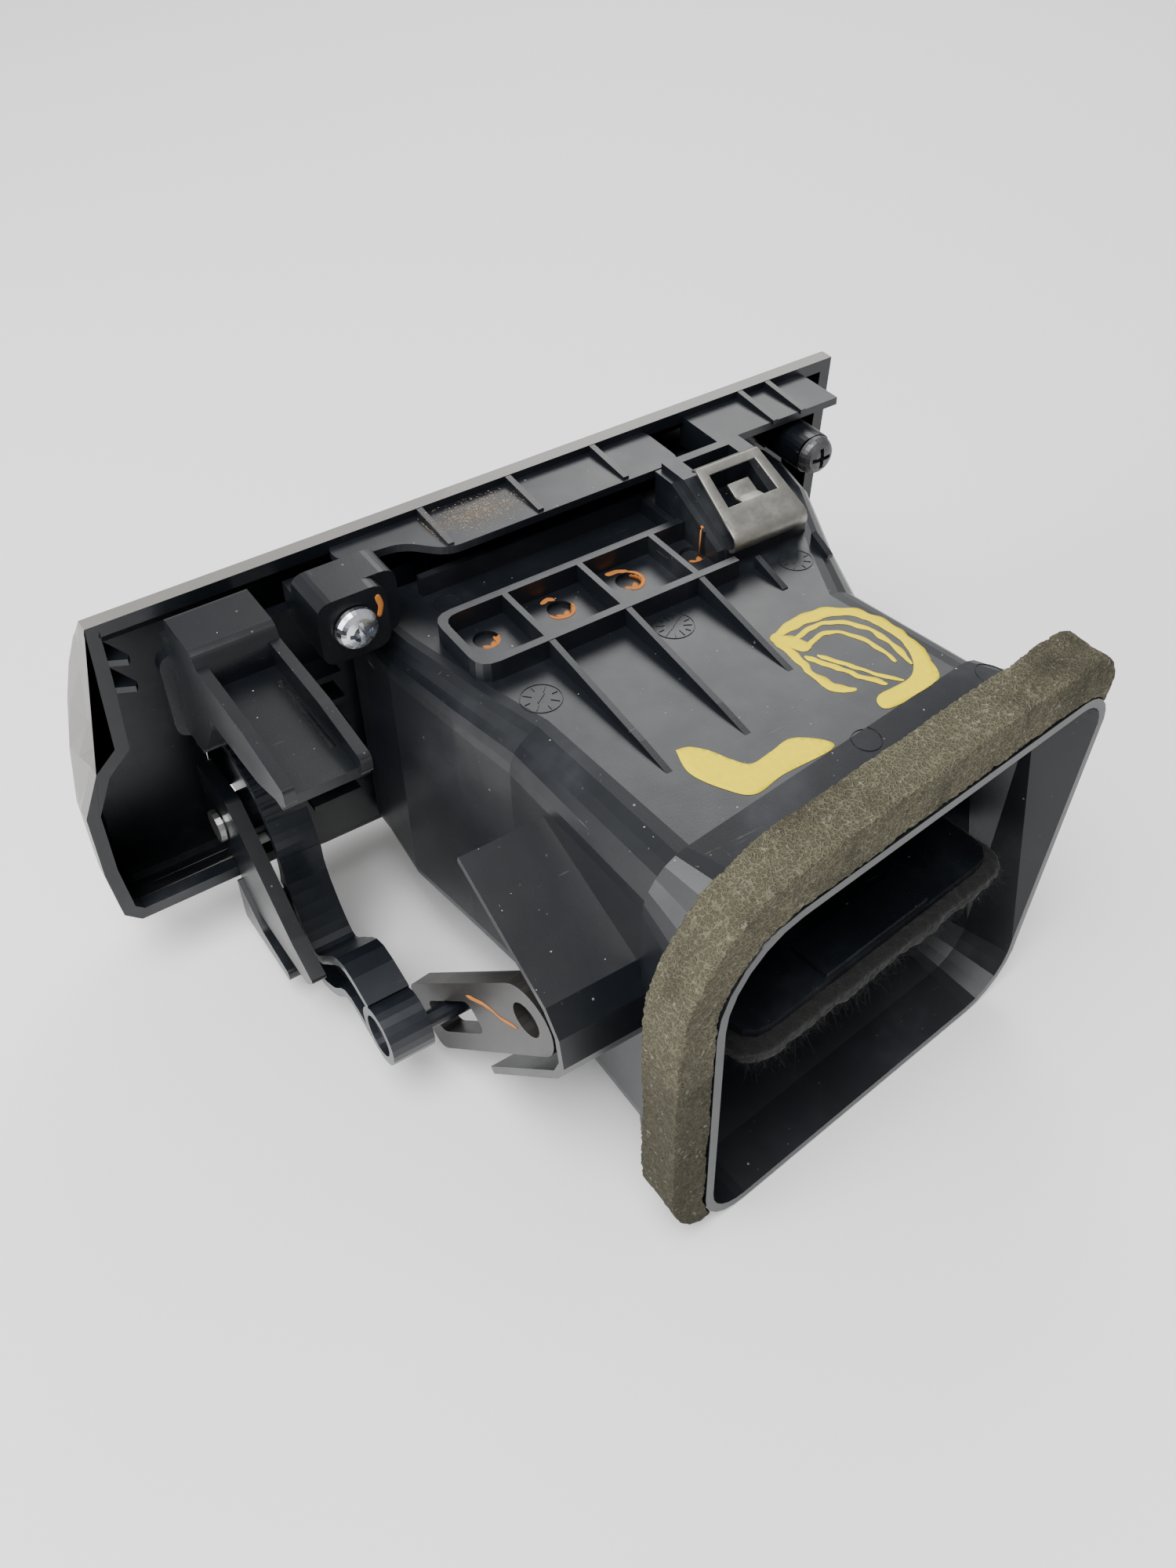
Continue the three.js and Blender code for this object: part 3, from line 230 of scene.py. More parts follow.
class Graph:
    """The node graph of one material with a Principled shader."""

    def __init__(self, name):
        self.material = bpy.data.materials.new(name)
        self.material.use_nodes = True
        self.tree = self.material.node_tree
        self.tree.nodes.clear()
        self.shader = self.tree.nodes.new("ShaderNodeBsdfPrincipled")
        output = self.tree.nodes.new("ShaderNodeOutputMaterial")
        self.tree.links.new(self.shader.outputs[0], output.inputs["Surface"])
        self.place = self.node("ShaderNodeTexCoord", output="Object")

    def feed(self, socket, value):
        if isinstance(value, Value):
            self.tree.links.new(value.socket, socket)
        elif hasattr(socket.default_value, "__len__") and hasattr(value, "__len__"):
            room = len(socket.default_value)
            socket.default_value = (*value[:3], 1.0)[:room]
        else:
            socket.default_value = value

    def node(self, kind, settings=None, inputs=None, output=0):
        made = self.tree.nodes.new(kind)
        for key, value in (settings or {}).items():
            setattr(made, key, value)
        for key, value in (inputs or {}).items():
            self.feed(made.inputs[key], value)
        return Value(self, made.outputs[output])

    def set(self, **inputs):
        """Feeds the Principled shader: words in an input's name are joined by _."""
        for key, value in inputs.items():
            self.feed(self.shader.inputs[key.replace("_", " ")], value)
        return self.material

    def mix(self, factor, a, b):
        inputs = {0: factor, 6: a, 7: b}
        return self.node("ShaderNodeMix", {"data_type": "RGBA"}, inputs, output=2)

    def stretch(self, x, y, z):
        """The place on the object, stretched along each axis."""
        inputs = {0: self.place, 1: (x, y, z)}
        return self.node("ShaderNodeVectorMath", {"operation": "MULTIPLY"}, inputs)

    def noise(self, scale, detail=2.0, rough=0.5, place=None):
        inputs = {"Vector": place or self.place, "Scale": scale, "Detail": detail, "Roughness": rough}
        return self.node("ShaderNodeTexNoise", None, inputs)

    def cells(self, scale, output="Distance", feature="F1", place=None):
        inputs = {"Vector": place or self.place, "Scale": scale}
        return self.node("ShaderNodeTexVoronoi", {"feature": feature}, inputs, output=output)

    def bump(self, height, distance, strength=1.0):
        inputs = {"Height": height, "Distance": distance, "Strength": strength}
        return self.node("ShaderNodeBump", None, inputs)

    def part(self, colour, index):
        """One channel of a colour, or one coordinate of a place."""
        return self.node("ShaderNodeSeparateXYZ", None, {0: colour}, output=index)

    def segment(self, a, b):
        """Distance from the surface point to the segment between two points."""
        along = b - a
        toward = self.node("ShaderNodeVectorMath", {"operation": "SUBTRACT"}, {0: self.place, 1: a})
        dot = self.node(
            "ShaderNodeVectorMath", {"operation": "DOT_PRODUCT"}, {0: toward, 1: along}, "Value"
        )
        share = (dot / along.length_squared).larger(0.0).smaller(1.0)
        reach = self.node(
            "ShaderNodeVectorMath", {"operation": "SCALE"}, {0: along, "Scale": share}
        )
        return self.node(
            "ShaderNodeVectorMath", {"operation": "DISTANCE"}, {0: toward, 1: reach}, "Value"
        )


def moulded_plastic(name, colour, roughness, wear=1.0, grain=1.0, painted_edge_highlights=()):
    """Moulded plastic with a fine grain, fine scratches, dust specks and optional painted highlights: pale
    streaks along given segments.
    """
    g = Graph(name)
    fine = g.noise(2600.0, 2.0)
    blotch = g.noise(38.0, 4.0, 0.6)
    handled = g.noise(140.0, 3.0, 0.6)
    scratch_a = g.noise(1.0, 1.0, 0.5, g.stretch(60.0, 1500.0, 700.0))
    scratch_b = g.noise(1.0, 1.0, 0.5, g.stretch(1300.0, 90.0, 1100.0))
    line_a = scratch_a.ramp(0.735, 0.775) * handled.ramp(0.52, 0.68)
    line_b = scratch_b.ramp(0.745, 0.785) * handled.ramp(0.5, 0.66)
    speck_scale = 300.0
    fluff_scale = 900.0
    spot = g.cells(speck_scale)
    chance = g.part(g.cells(speck_scale, "Color"), 0)
    speck = spot.ramp(0.085, 0.05) * chance.ramp(0.86, 0.9)
    loose = g.part(g.cells(fluff_scale, "Color"), 1).ramp(0.92, 0.95)
    fluff = g.cells(fluff_scale).ramp(0.16, 0.08) * loose
    pale = (line_a + line_b) * (0.10 * wear) + speck * (0.3 * wear) + fluff * (0.12 * wear)
    dusty = blotch.ramp(0.5, 0.8) * (0.05 * wear)
    tone = g.mix(blotch.ramp(0.3, 0.75), [c * 0.8 for c in colour], [c * 1.25 for c in colour])
    # painted highlights: each segment lays a pale, ragged streak into the colour, standing in for light
    # caught along an edge
    for a, b, radius, strength in painted_edge_highlights:
        ragged = g.noise(420.0, 3.0, 0.6) * radius * 1.3
        near = (g.segment(a, b) + ragged).ramp(radius * 1.5, radius * 0.5)
        pale = pale + near * g.noise(900.0, 2.0).ramp(0.3, 0.65) * strength
    base = g.mix((pale + dusty).smaller(1.0), tone, (0.42, 0.43, 0.44))
    dull = roughness + (blotch - 0.5) * 0.16 + (handled - 0.5) * 0.1 + pale * 0.5
    relief = fine * 0.7 + handled * 0.6 - (line_a + line_b) * 0.5 + speck * 1.5
    return g.set(
        Base_Color=base,
        Roughness=dull.larger(0.12).smaller(0.95),
        IOR=1.47,
        Normal=g.bump(relief, 0.00002 * grain, 0.7),
    )


def bezel_paint(name, colour):
    """Satin trim paint with a slight texture, rubs and scuffs."""
    g = Graph(name)
    peel = g.noise(1500.0, 3.0, 0.6)
    cloud = g.noise(22.0, 3.0)
    rub = g.noise(1.0, 2.0, 0.5, g.stretch(500.0, 120.0, 90.0)).ramp(0.62, 0.74) * cloud.ramp(0.4, 0.6)
    nick_scale = 260.0
    chance = g.part(g.cells(nick_scale, "Color"), 0)
    nick = g.cells(nick_scale).ramp(0.07, 0.04) * chance.ramp(0.88, 0.92)
    tone = g.mix(cloud.ramp(0.3, 0.7), [c * 0.9 for c in colour], [c * 1.06 for c in colour])
    worn = g.mix(rub * 0.35, tone, [c * 1.35 for c in colour])
    base = g.mix(nick * 0.7, worn, (0.05, 0.05, 0.05))
    return g.set(
        Base_Color=base,
        Roughness=0.5 + (cloud - 0.5) * 0.15 - rub * 0.1,
        Coat_Weight=0.08 + cloud * 0.05,
        Normal=g.bump(peel - nick, 0.00003, 0.5),
    )


def open_foam(name, colour, cell):
    """Open-cell foam: pale struts around pores darkened with painted shade, painted light that makes the
    foam lighter higher up and darker low down, and grime in patches.
    """
    g = Graph(name)
    scale = 1.0 / cell
    wobble = g.noise(scale * 0.6, 2.0)
    place = g.node("ShaderNodeVectorMath", {"operation": "MULTIPLY_ADD"},
                   {0: wobble, 1: (cell * 0.5,) * 3, 2: g.place})
    strut = g.cells(scale, feature="DISTANCE_TO_EDGE", place=place)
    pore = strut.ramp(0.02, 0.24)
    tiny = g.cells(scale * 2.3, feature="DISTANCE_TO_EDGE").ramp(0.02, 0.2)
    grime = g.noise(70.0, 4.0, 0.6)
    # painted light and shade: the foam's colour is darker low down and lighter higher up
    high = g.part(g.place, 2).ramp(0.02, 0.07)
    light = g.mix(high, [c * 0.72 for c in colour], [c * 1.5 for c in colour])
    light = g.mix(grime.ramp(0.45, 0.75), light, [c * 0.62 for c in colour])
    # painted shade: the pores and the finer cells are darkened in the colour, as shade in the foam's
    # hollows
    base = g.mix(pore * 0.5, light, [c * 0.2 for c in colour])
    base = g.mix(tiny * 0.35, base, [c * 0.3 for c in colour])
    base = g.mix(g.noise(scale * 1.9, 3.0, 0.7).ramp(0.5, 0.7) * 0.5, base, [c * 0.35 for c in colour])
    glint = g.part(g.cells(scale * 1.3, "Color"), 0).ramp(0.95, 0.98)
    return g.set(
        Base_Color=g.mix(glint * 0.3 * (1.0 - pore), base, (0.35, 0.34, 0.28)),
        Roughness=0.9 - glint * 0.3,
        Specular_IOR_Level=0.2,
        Normal=g.bump(0.0 - pore - tiny * 0.3, 0.00028, 1.0),
    )


def matted_felt(name, colour):
    """Dark matted felt."""
    g = Graph(name)
    mat = g.noise(2400.0, 4.0, 0.7)
    tuft = g.noise(520.0, 3.0, 0.6)
    base = g.mix(mat.ramp(0.35, 0.7), [c * 0.45 for c in colour], [c * 1.9 for c in colour])
    base = g.mix(tuft.ramp(0.66, 0.84) * 0.3, base, (0.08, 0.075, 0.06))
    return g.set(
        Base_Color=base,
        Roughness=0.93 + mat * 0.05,
        Sheen_Weight=0.08,
        Normal=g.bump(mat + tuft * 2.0, 0.0002, 1.0),
    )


def zinc_metal(name, colour, roughness, tint=None, dirt=0.0):
    """Zinc-plated steel, with an optional rainbow tint and brown dirt."""
    g = Graph(name)
    cloud = g.noise(420.0, 3.0, 0.6)
    streak = g.noise(1.0, 2.0, 0.5, g.stretch(900.0, 200.0, 2200.0))
    base = g.mix(cloud.ramp(0.3, 0.75), [c * 0.8 for c in colour], colour)
    if tint:
        base = g.mix(g.noise(260.0, 1.0).ramp(0.52, 0.68) * 0.5, base, tint)
    grime = g.noise(330.0, 4.0, 0.65).ramp(0.55, 0.72) * dirt
    return g.set(
        Base_Color=g.mix(grime, base, (0.06, 0.05, 0.04)),
        Metallic=1.0 - grime,
        Roughness=roughness + (streak - 0.5) * 0.2 + grime * 0.4,
        Normal=g.bump(streak + cloud * 0.5, 0.00002, 0.5),
    )


def pen_paint(name, colour, cover=1.0):
    """Thick opaque pen paint, thinner in streaks."""
    g = Graph(name)
    streak = g.noise(700.0, 3.0, 0.6)
    base = g.mix(streak.ramp(0.35, 0.75), [c * 0.92 for c in colour], colour)
    return g.set(
        Base_Color=base,
        Roughness=0.75 + (streak - 0.5) * 0.2,
        Specular_IOR_Level=0.08,
        Alpha=streak.ramp(0.16 - cover * 0.16, 0.34 - cover * 0.3, 0.0, 1.0),
        Normal=g.bump(streak, 0.00003, 0.6),
    )


def dust_paint(name, colour):
    """Loose dust and crumbs."""
    g = Graph(name)
    cloud = g.noise(900.0, 2.0)
    base = g.mix(cloud.ramp(0.3, 0.7), [c * 0.6 for c in colour], colour)
    return g.set(Base_Color=base, Roughness=0.85 + cloud * 0.1)


# ---------------------------------------------------------------- mesh helpers


def new_piece(name, verts, faces, material, body, smooth=True):
    mesh = bpy.data.meshes.new(name)
    mesh.from_pydata([tuple(v) for v in verts], [], faces)
    mesh.validate()
    mesh.update()
    if smooth:
        mesh.shade_smooth()
    piece = bpy.data.objects.new(name, mesh)
    bpy.context.scene.collection.objects.link(piece)
    piece.data.materials.append(material)
    if body:
        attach(piece, body)
    return piece


def baked(piece, add_modifiers):
    """The mesh that a piece has once its modifiers are applied."""
    add_modifiers(piece)
    bpy.context.view_layer.update()
    graph = bpy.context.evaluated_depsgraph_get()
    mesh = bpy.data.meshes.new_from_object(piece.evaluated_get(graph))
    piece.modifiers.clear()
    old, piece.data = piece.data, mesh
    bpy.data.meshes.remove(old)
    return piece


def copy_of_node(node, name):
    piece = bpy.data.objects.new(name, NODES[node].data.copy())
    bpy.context.scene.collection.objects.link(piece)
    piece.data.materials.clear()
    return piece


def remeshed(node, name, size, smooth_steps):
    """A copy of a CAD node as an even, softened mesh."""

    def add(piece):
        remesh = piece.modifiers.new("even", "REMESH")
        remesh.mode = "VOXEL"
        remesh.voxel_size = size
        soft = piece.modifiers.new("soft", "SMOOTH")
        soft.factor = 0.5
        soft.iterations = smooth_steps

    return baked(copy_of_node(node, name), add)


def displace(piece, height):
    """Moves every vertex along its normal by height(point)."""
    mesh = piece.data
    count = len(mesh.vertices)
    place = np.zeros(count * 3, np.float32)
    normal = np.zeros(count * 3, np.float32)
    mesh.vertices.foreach_get("co", place)
    mesh.vertices.foreach_get("normal", normal)
    place = place.reshape(-1, 3)
    normal = normal.reshape(-1, 3)
    amount = np.array([height(Vector(p)) for p in place.tolist()], np.float32)
    mesh.vertices.foreach_set("co", (place + normal * amount[:, None]).ravel())
    mesh.update()
    mesh.shade_smooth()


def tree_of(*nodes):
    """A ray tree over CAD nodes."""
    verts, faces = [], []
    for node in nodes:
        mesh = NODES[node].data
        start = len(verts)
        verts += [v.co.copy() for v in mesh.vertices]
        faces += [[start + i for i in p.vertices] for p in mesh.polygons]
    return BVHTree.FromPolygons(verts, faces)


def round_edges(node, radius, segments=2):
    """Rounds a CAD node's moulded edges and shades it smooth, with modifiers only."""
    piece = NODES[node]
    piece.data.shade_smooth()
    flat = piece.modifiers.new("flat_faces", "DECIMATE")
    flat.decimate_type = "DISSOLVE"
    flat.angle_limit = math.radians(0.6)
    flat.delimit = {"MATERIAL"}
    edge = piece.modifiers.new("round_edges", "BEVEL")
    edge.width = radius
    edge.segments = segments
    edge.limit_method = "ANGLE"
    edge.angle_limit = math.radians(32)
    edge.use_clamp_overlap = True
    edge.miter_outer = "MITER_ARC"
    even = piece.modifiers.new("even_shading", "WEIGHTED_NORMAL")
    even.keep_sharp = True
    return piece


def dress(node, material, radius, segments=2):
    """Gives a CAD node its material and rounded edges."""
    piece = NODES[node]
    piece.data.materials.clear()
    piece.data.materials.append(material)
    return round_edges(node, radius, segments)


# ---------------------------------------------------------------- operators


class VentOperator(bpy.types.Operator):
    """Base of the dressing steps."""

    bl_options = {"REGISTER", "UNDO"}

    @property
    def settings(self):
        return bpy.context.scene.vent_settings


CRANK_COLOUR = [c * 2.1 for c in (0.0125, 0.0115, 0.011)]
VANES = [f"tilt_vane_{i}" for i in range(1, 6)] + [f"swing_vane_{i}" for i in range(1, 8)]


class VENT_OT_plastics(VentOperator):
    """Dress the moulded plastic pieces"""

    bl_idname = "vent.plastics"
    bl_label = "Dress plastics"

    def execute(self, context):
        s = self.settings
        colour = list(s.plastic_colour)
        rough = s.plastic_roughness
        # painted highlights: pale streaks along the duct's top edge, laid into the duct's colour
        painted_edge_highlights = [
            (mm(29.5, -16, 75), mm(26.5, 0, 74.5), 0.0009, 0.25),
            (mm(26.0, 2, 74.5), mm(24.5, 10, 74.5), 0.0016, 0.8),
            (mm(24.4, 11, 74.4), mm(23.6, 22, 74.4), 0.0010, 0.4),
            (mm(24, 22, 74.2), mm(23.6, 45, 73.5), 0.0005, 0.15),
        ]
        duct = moulded_plastic("duct_plastic", colour, rough, 1.0, 1.0, painted_edge_highlights)
        frame_plastic = moulded_plastic("frame_plastic", [c * 0.85 for c in colour], rough - 0.04, 0.7)
        lever = moulded_plastic("lever_plastic", [c * 1.35 for c in colour], rough - 0.06, 0.5)
        crank = moulded_plastic("crank_plastic", CRANK_COLOUR, rough + 0.02, 0.9)
        blade = moulded_plastic("blade_plastic", colour, rough - 0.08, 0.8)
        vane = moulded_plastic("vane_plastic", [c * 0.7 for c in colour], rough + 0.06, 0.4)
        knob = moulded_plastic("knob_plastic", [c * 1.6 for c in colour], rough, 0.4)
        radius = s.edge_radius
        dress("duct_housing", duct, radius)
        dress("grille_housing", frame_plastic, radius)
        dress("thumbwheel_lever", lever, radius * 1.3)
        dress("damper_crank", crank, radius)
        dress("damper_blade", blade, radius * 1.2)
        dress("damper_clamp_plate", blade, radius * 0.7)
        dress("tilt_link_bar", frame_plastic, radius * 0.6)
        dress("swing_link_bar", frame_plastic, radius * 0.6)
        dress("slider_knob", knob, radius)
        for node in VANES:
            dress(node, vane, radius * 0.6)
        return {"FINISHED"}


class VENT_OT_bezel(VentOperator):
    """Dress the bezel: painted outside, bare plastic inside"""

    bl_idname = "vent.bezel"
    bl_label = "Dress bezel"

    def execute(self, context):
        s = self.settings
        paint = bezel_paint("bezel_paint", list(s.bezel_colour))
        inside = moulded_plastic("bezel_plastic", list(s.plastic_colour), s.plastic_roughness, 1.0)
        piece = NODES["front_bezel"]
        mesh = piece.data
        mesh.materials.clear()
        mesh.materials.append(inside)
        mesh.materials.append(paint)
        tree = tree_of("front_bezel")
        middle = mm(0, 0, 50)
        for face in mesh.polygons:
            start = face.center + face.normal * 0.00005
            escapes = tree.ray_cast(start, face.normal, 0.4)[0] is None
            arm = face.center - middle
            outward = arm.x * face.normal.x * 0.4 + arm.z * face.normal.z > 0
            ahead = face.center.y < mm(0, -42.4, 0).y
            outside = face.normal.y < -0.5 or (face.normal.y < 0.9 and outward)
            face.material_index = 1 if escapes and ahead and outside else 0
        round_edges("front_bezel", s.edge_radius)
        return {"FINISHED"}


CLIP_SHEET = 0.6 * MM
CLIP_ROLL = 2.1 * MM  # radius of the rolled foot
CLIP_SUNK = 1.1 * MM  # how far the tongue lies below the legs


class VENT_OT_fasteners(VentOperator):
    """Dress the screws and the axle, and bend the spring clip"""

    bl_idname = "vent.fasteners"
    bl_label = "Dress fasteners"

    def execute(self, context):
        s = self.settings
        bright = zinc_metal("screw_zinc", (0.66, 0.68, 0.72), 0.26, (0.5, 0.56, 0.75), 0.25)
        dress("screw_near", bright, s.edge_radius * 0.6)
        dull = zinc_metal("dull_zinc", (0.13, 0.13, 0.135), 0.5, None, 0.8)
        dress("screw_far", dull, s.edge_radius * 0.6)
        dress("thumbwheel_axle", zinc_metal("axle_zinc", (0.5, 0.5, 0.5), 0.35), s.edge_radius)
        self.clip(zinc_metal("clip_zinc", (0.30, 0.29, 0.265), 0.46, None, 0.55))
        return {"FINISHED"}

    def clip(self, material):
        """A strip with two legs and a sunk tongue, rolled over at its foot."""
        low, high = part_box("spring_clip")
        middle = (low.x + high.x) / 2
        half = (high.x - low.x) / 2
        top = Vector((0, low.y + 0.0006, high.z - 0.0006))
        foot = Vector((0, high.y - 0.0027, low.z + 0.0062))
        slope = foot - top
        length = slope.length
        along = slope.normalized()
        lift = Vector((0, -along.z, along.y))
        if lift.z < 0:
            lift = -lift
        rows = [-0.14, 0.0, 0.12, 0.2, 0.3, 0.42, 0.53, 0.64, 0.76, 0.9, 1.0]
        path = [(top + along * (length * r), 0.86 + 0.14 * max(r, 0)) for r in rows]
        path[0] = (top - Vector((0, 0.0012, 0.0006)), 0.86)
        centre = foot - lift * CLIP_ROLL
        for i in range(1, 8):
            turn = math.radians(i * 26)
            arc = lift * (CLIP_ROLL * math.cos(turn)) + along * (CLIP_ROLL * math.sin(turn))
            path.append((centre + arc, 1.0))
        last = path[-1][0]
        path.append((last - along * 0.0022 + lift * 0.0002, 0.94))
        breaks = [-1.0, -0.72, -0.32, 0.32, 0.72, 1.0]
        verts, faces, index = [], [], {}

        def corner(row, column, sunk):
            key = (row, column, sunk)
            if key not in index:
                point, wide = path[row]
                x = middle + breaks[column] * half * wide
                index[key] = len(verts)
                verts.append(Vector((x, point.y, point.z)) - lift * (CLIP_SUNK if sunk else 0))
            return index[key]

        for row in range(len(path) - 1):
            for column in range(5):
                leg = column in (0, 4)
                tongue = column == 2 and 4 <= row < 8
                if not (leg or row < 2 or row >= 7 or tongue):
                    continue
                sunk_here = tongue and row < 7
                a = corner(row, column, sunk_here)
                b = corner(row, column + 1, sunk_here)
                c = corner(row + 1, column + 1, sunk_here and row + 1 < 7)
                d = corner(row + 1, column, sunk_here and row + 1 < 7)
                faces.append((a, b, c, d))
        piece = new_piece("bent_spring_clip", verts, faces, material, "vent_body")
        thick = piece.modifiers.new("sheet", "SOLIDIFY")
        thick.thickness = CLIP_SHEET
        thick.offset = 0
        edge = piece.modifiers.new("edges", "BEVEL")
        edge.width = 0.00015
        edge.segments = 2
        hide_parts("spring_clip")


class VENT_OT_foam(VentOperator):
    """Grow the open-cell foam strip"""

    bl_idname = "vent.foam"
    bl_label = "Grow foam"

    def execute(self, context):
        s = self.settings
        size = 0.00034
        piece = remeshed("lip_foam", "open_cell_foam", size, 3)
        piece.data.materials.append(open_foam("foam_cells", list(s.foam_colour), s.foam_cell))
        cell = s.foam_cell

        def height(p):
            wide = noise.noise(p / 0.009) * 0.00042 + noise.noise(p / 0.0032) * 0.00022
            near = noise.voronoi(p / (cell * 1.5))[0]
            pit = min(1.0, (near[1] - near[0]) * 2.2)
            return wide - pit * 0.00022 + noise.noise(p / 0.0009) * 0.00012

        displace(piece, height)
        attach(piece, "vent_body")
        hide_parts("lip_foam")
        return {"FINISHED"}


class VENT_OT_felt(VentOperator):
    """Mat the damper's felt seal and raise its fibres"""

    bl_idname = "vent.felt"
    bl_label = "Mat felt"

    def execute(self, context):
        s = self.settings
        size = 0.0005
        piece = remeshed("damper_felt", "matted_felt", size, 2)
        felt = matted_felt("felt_mat", list(s.felt_colour))
        piece.data.materials.append(felt)

        def height(p):
            return noise.noise(p / 0.0035) * 0.0004 + noise.noise(p / 0.0011) * 0.0003

        displace(piece, height)
        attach(piece, "damper")
        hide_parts("damper_felt")
        self.fibres(piece, felt, s)
        return {"FINISHED"}

    def fibres(self, felt_piece, material, s):
        rng = random.Random(s.seed)
        mesh = felt_piece.data
        faces = [p for p in mesh.polygons if abs(p.normal.z) < 0.8]
        count = 7200
        verts, quads = [], []
        for _ in range(count):
            face = rng.choice(faces)
            start = face.center.copy()
            wander = Vector((rng.gauss(0, 1), rng.gauss(0, 1), rng.gauss(0, 0.7)))
            heading = (face.normal + wander * 0.9).normalized()
            bend = Vector((rng.gauss(0, 1), rng.gauss(0, 1), rng.gauss(0, 1))) * 0.7
            side = heading.orthogonal().normalized() * 0.000028
            reach = s.fibre_length * rng.uniform(0.3, 1.0)
            base = len(verts)
            for step in range(4):
                share = step / 3
                point = start + (heading + bend * share * share) * (reach * share)
                verts += [point - side * (1 - share * 0.6), point + side * (1 - share * 0.6)]
            for step in range(3):
                a = base + step * 2
                quads.append((a, a + 1, a + 3, a + 2))
        fibres = new_piece("felt_fibres", verts, quads, material, "damper")


# outlines of the two filled paint marks, in millimetres on the duct's top
OVAL_BLOB = [
    (-44.4, 30.5), (-46.0, 31.8), (-45.4, 36.0), (-43.4, 38.6), (-38, 39.6), (-31.6, 39.4),
    (-30.9, 37.4), (-32.6, 35.9), (-36.4, 35.8), (-40, 35.4), (-42.6, 33.4),
]
TICK = [
    (3.9, 27.8), (5.2, 33.4), (2.7, 39.5), (-0.6, 43.0), (-7.2, 42.0), (-17.2, 41.8), (-17.8, 39.6),
    (-13.5, 36.1), (-8.8, 36.7), (-4.4, 37.2), (-2.4, 34.8), (-0.6, 31.0), (1.6, 28.4),
]


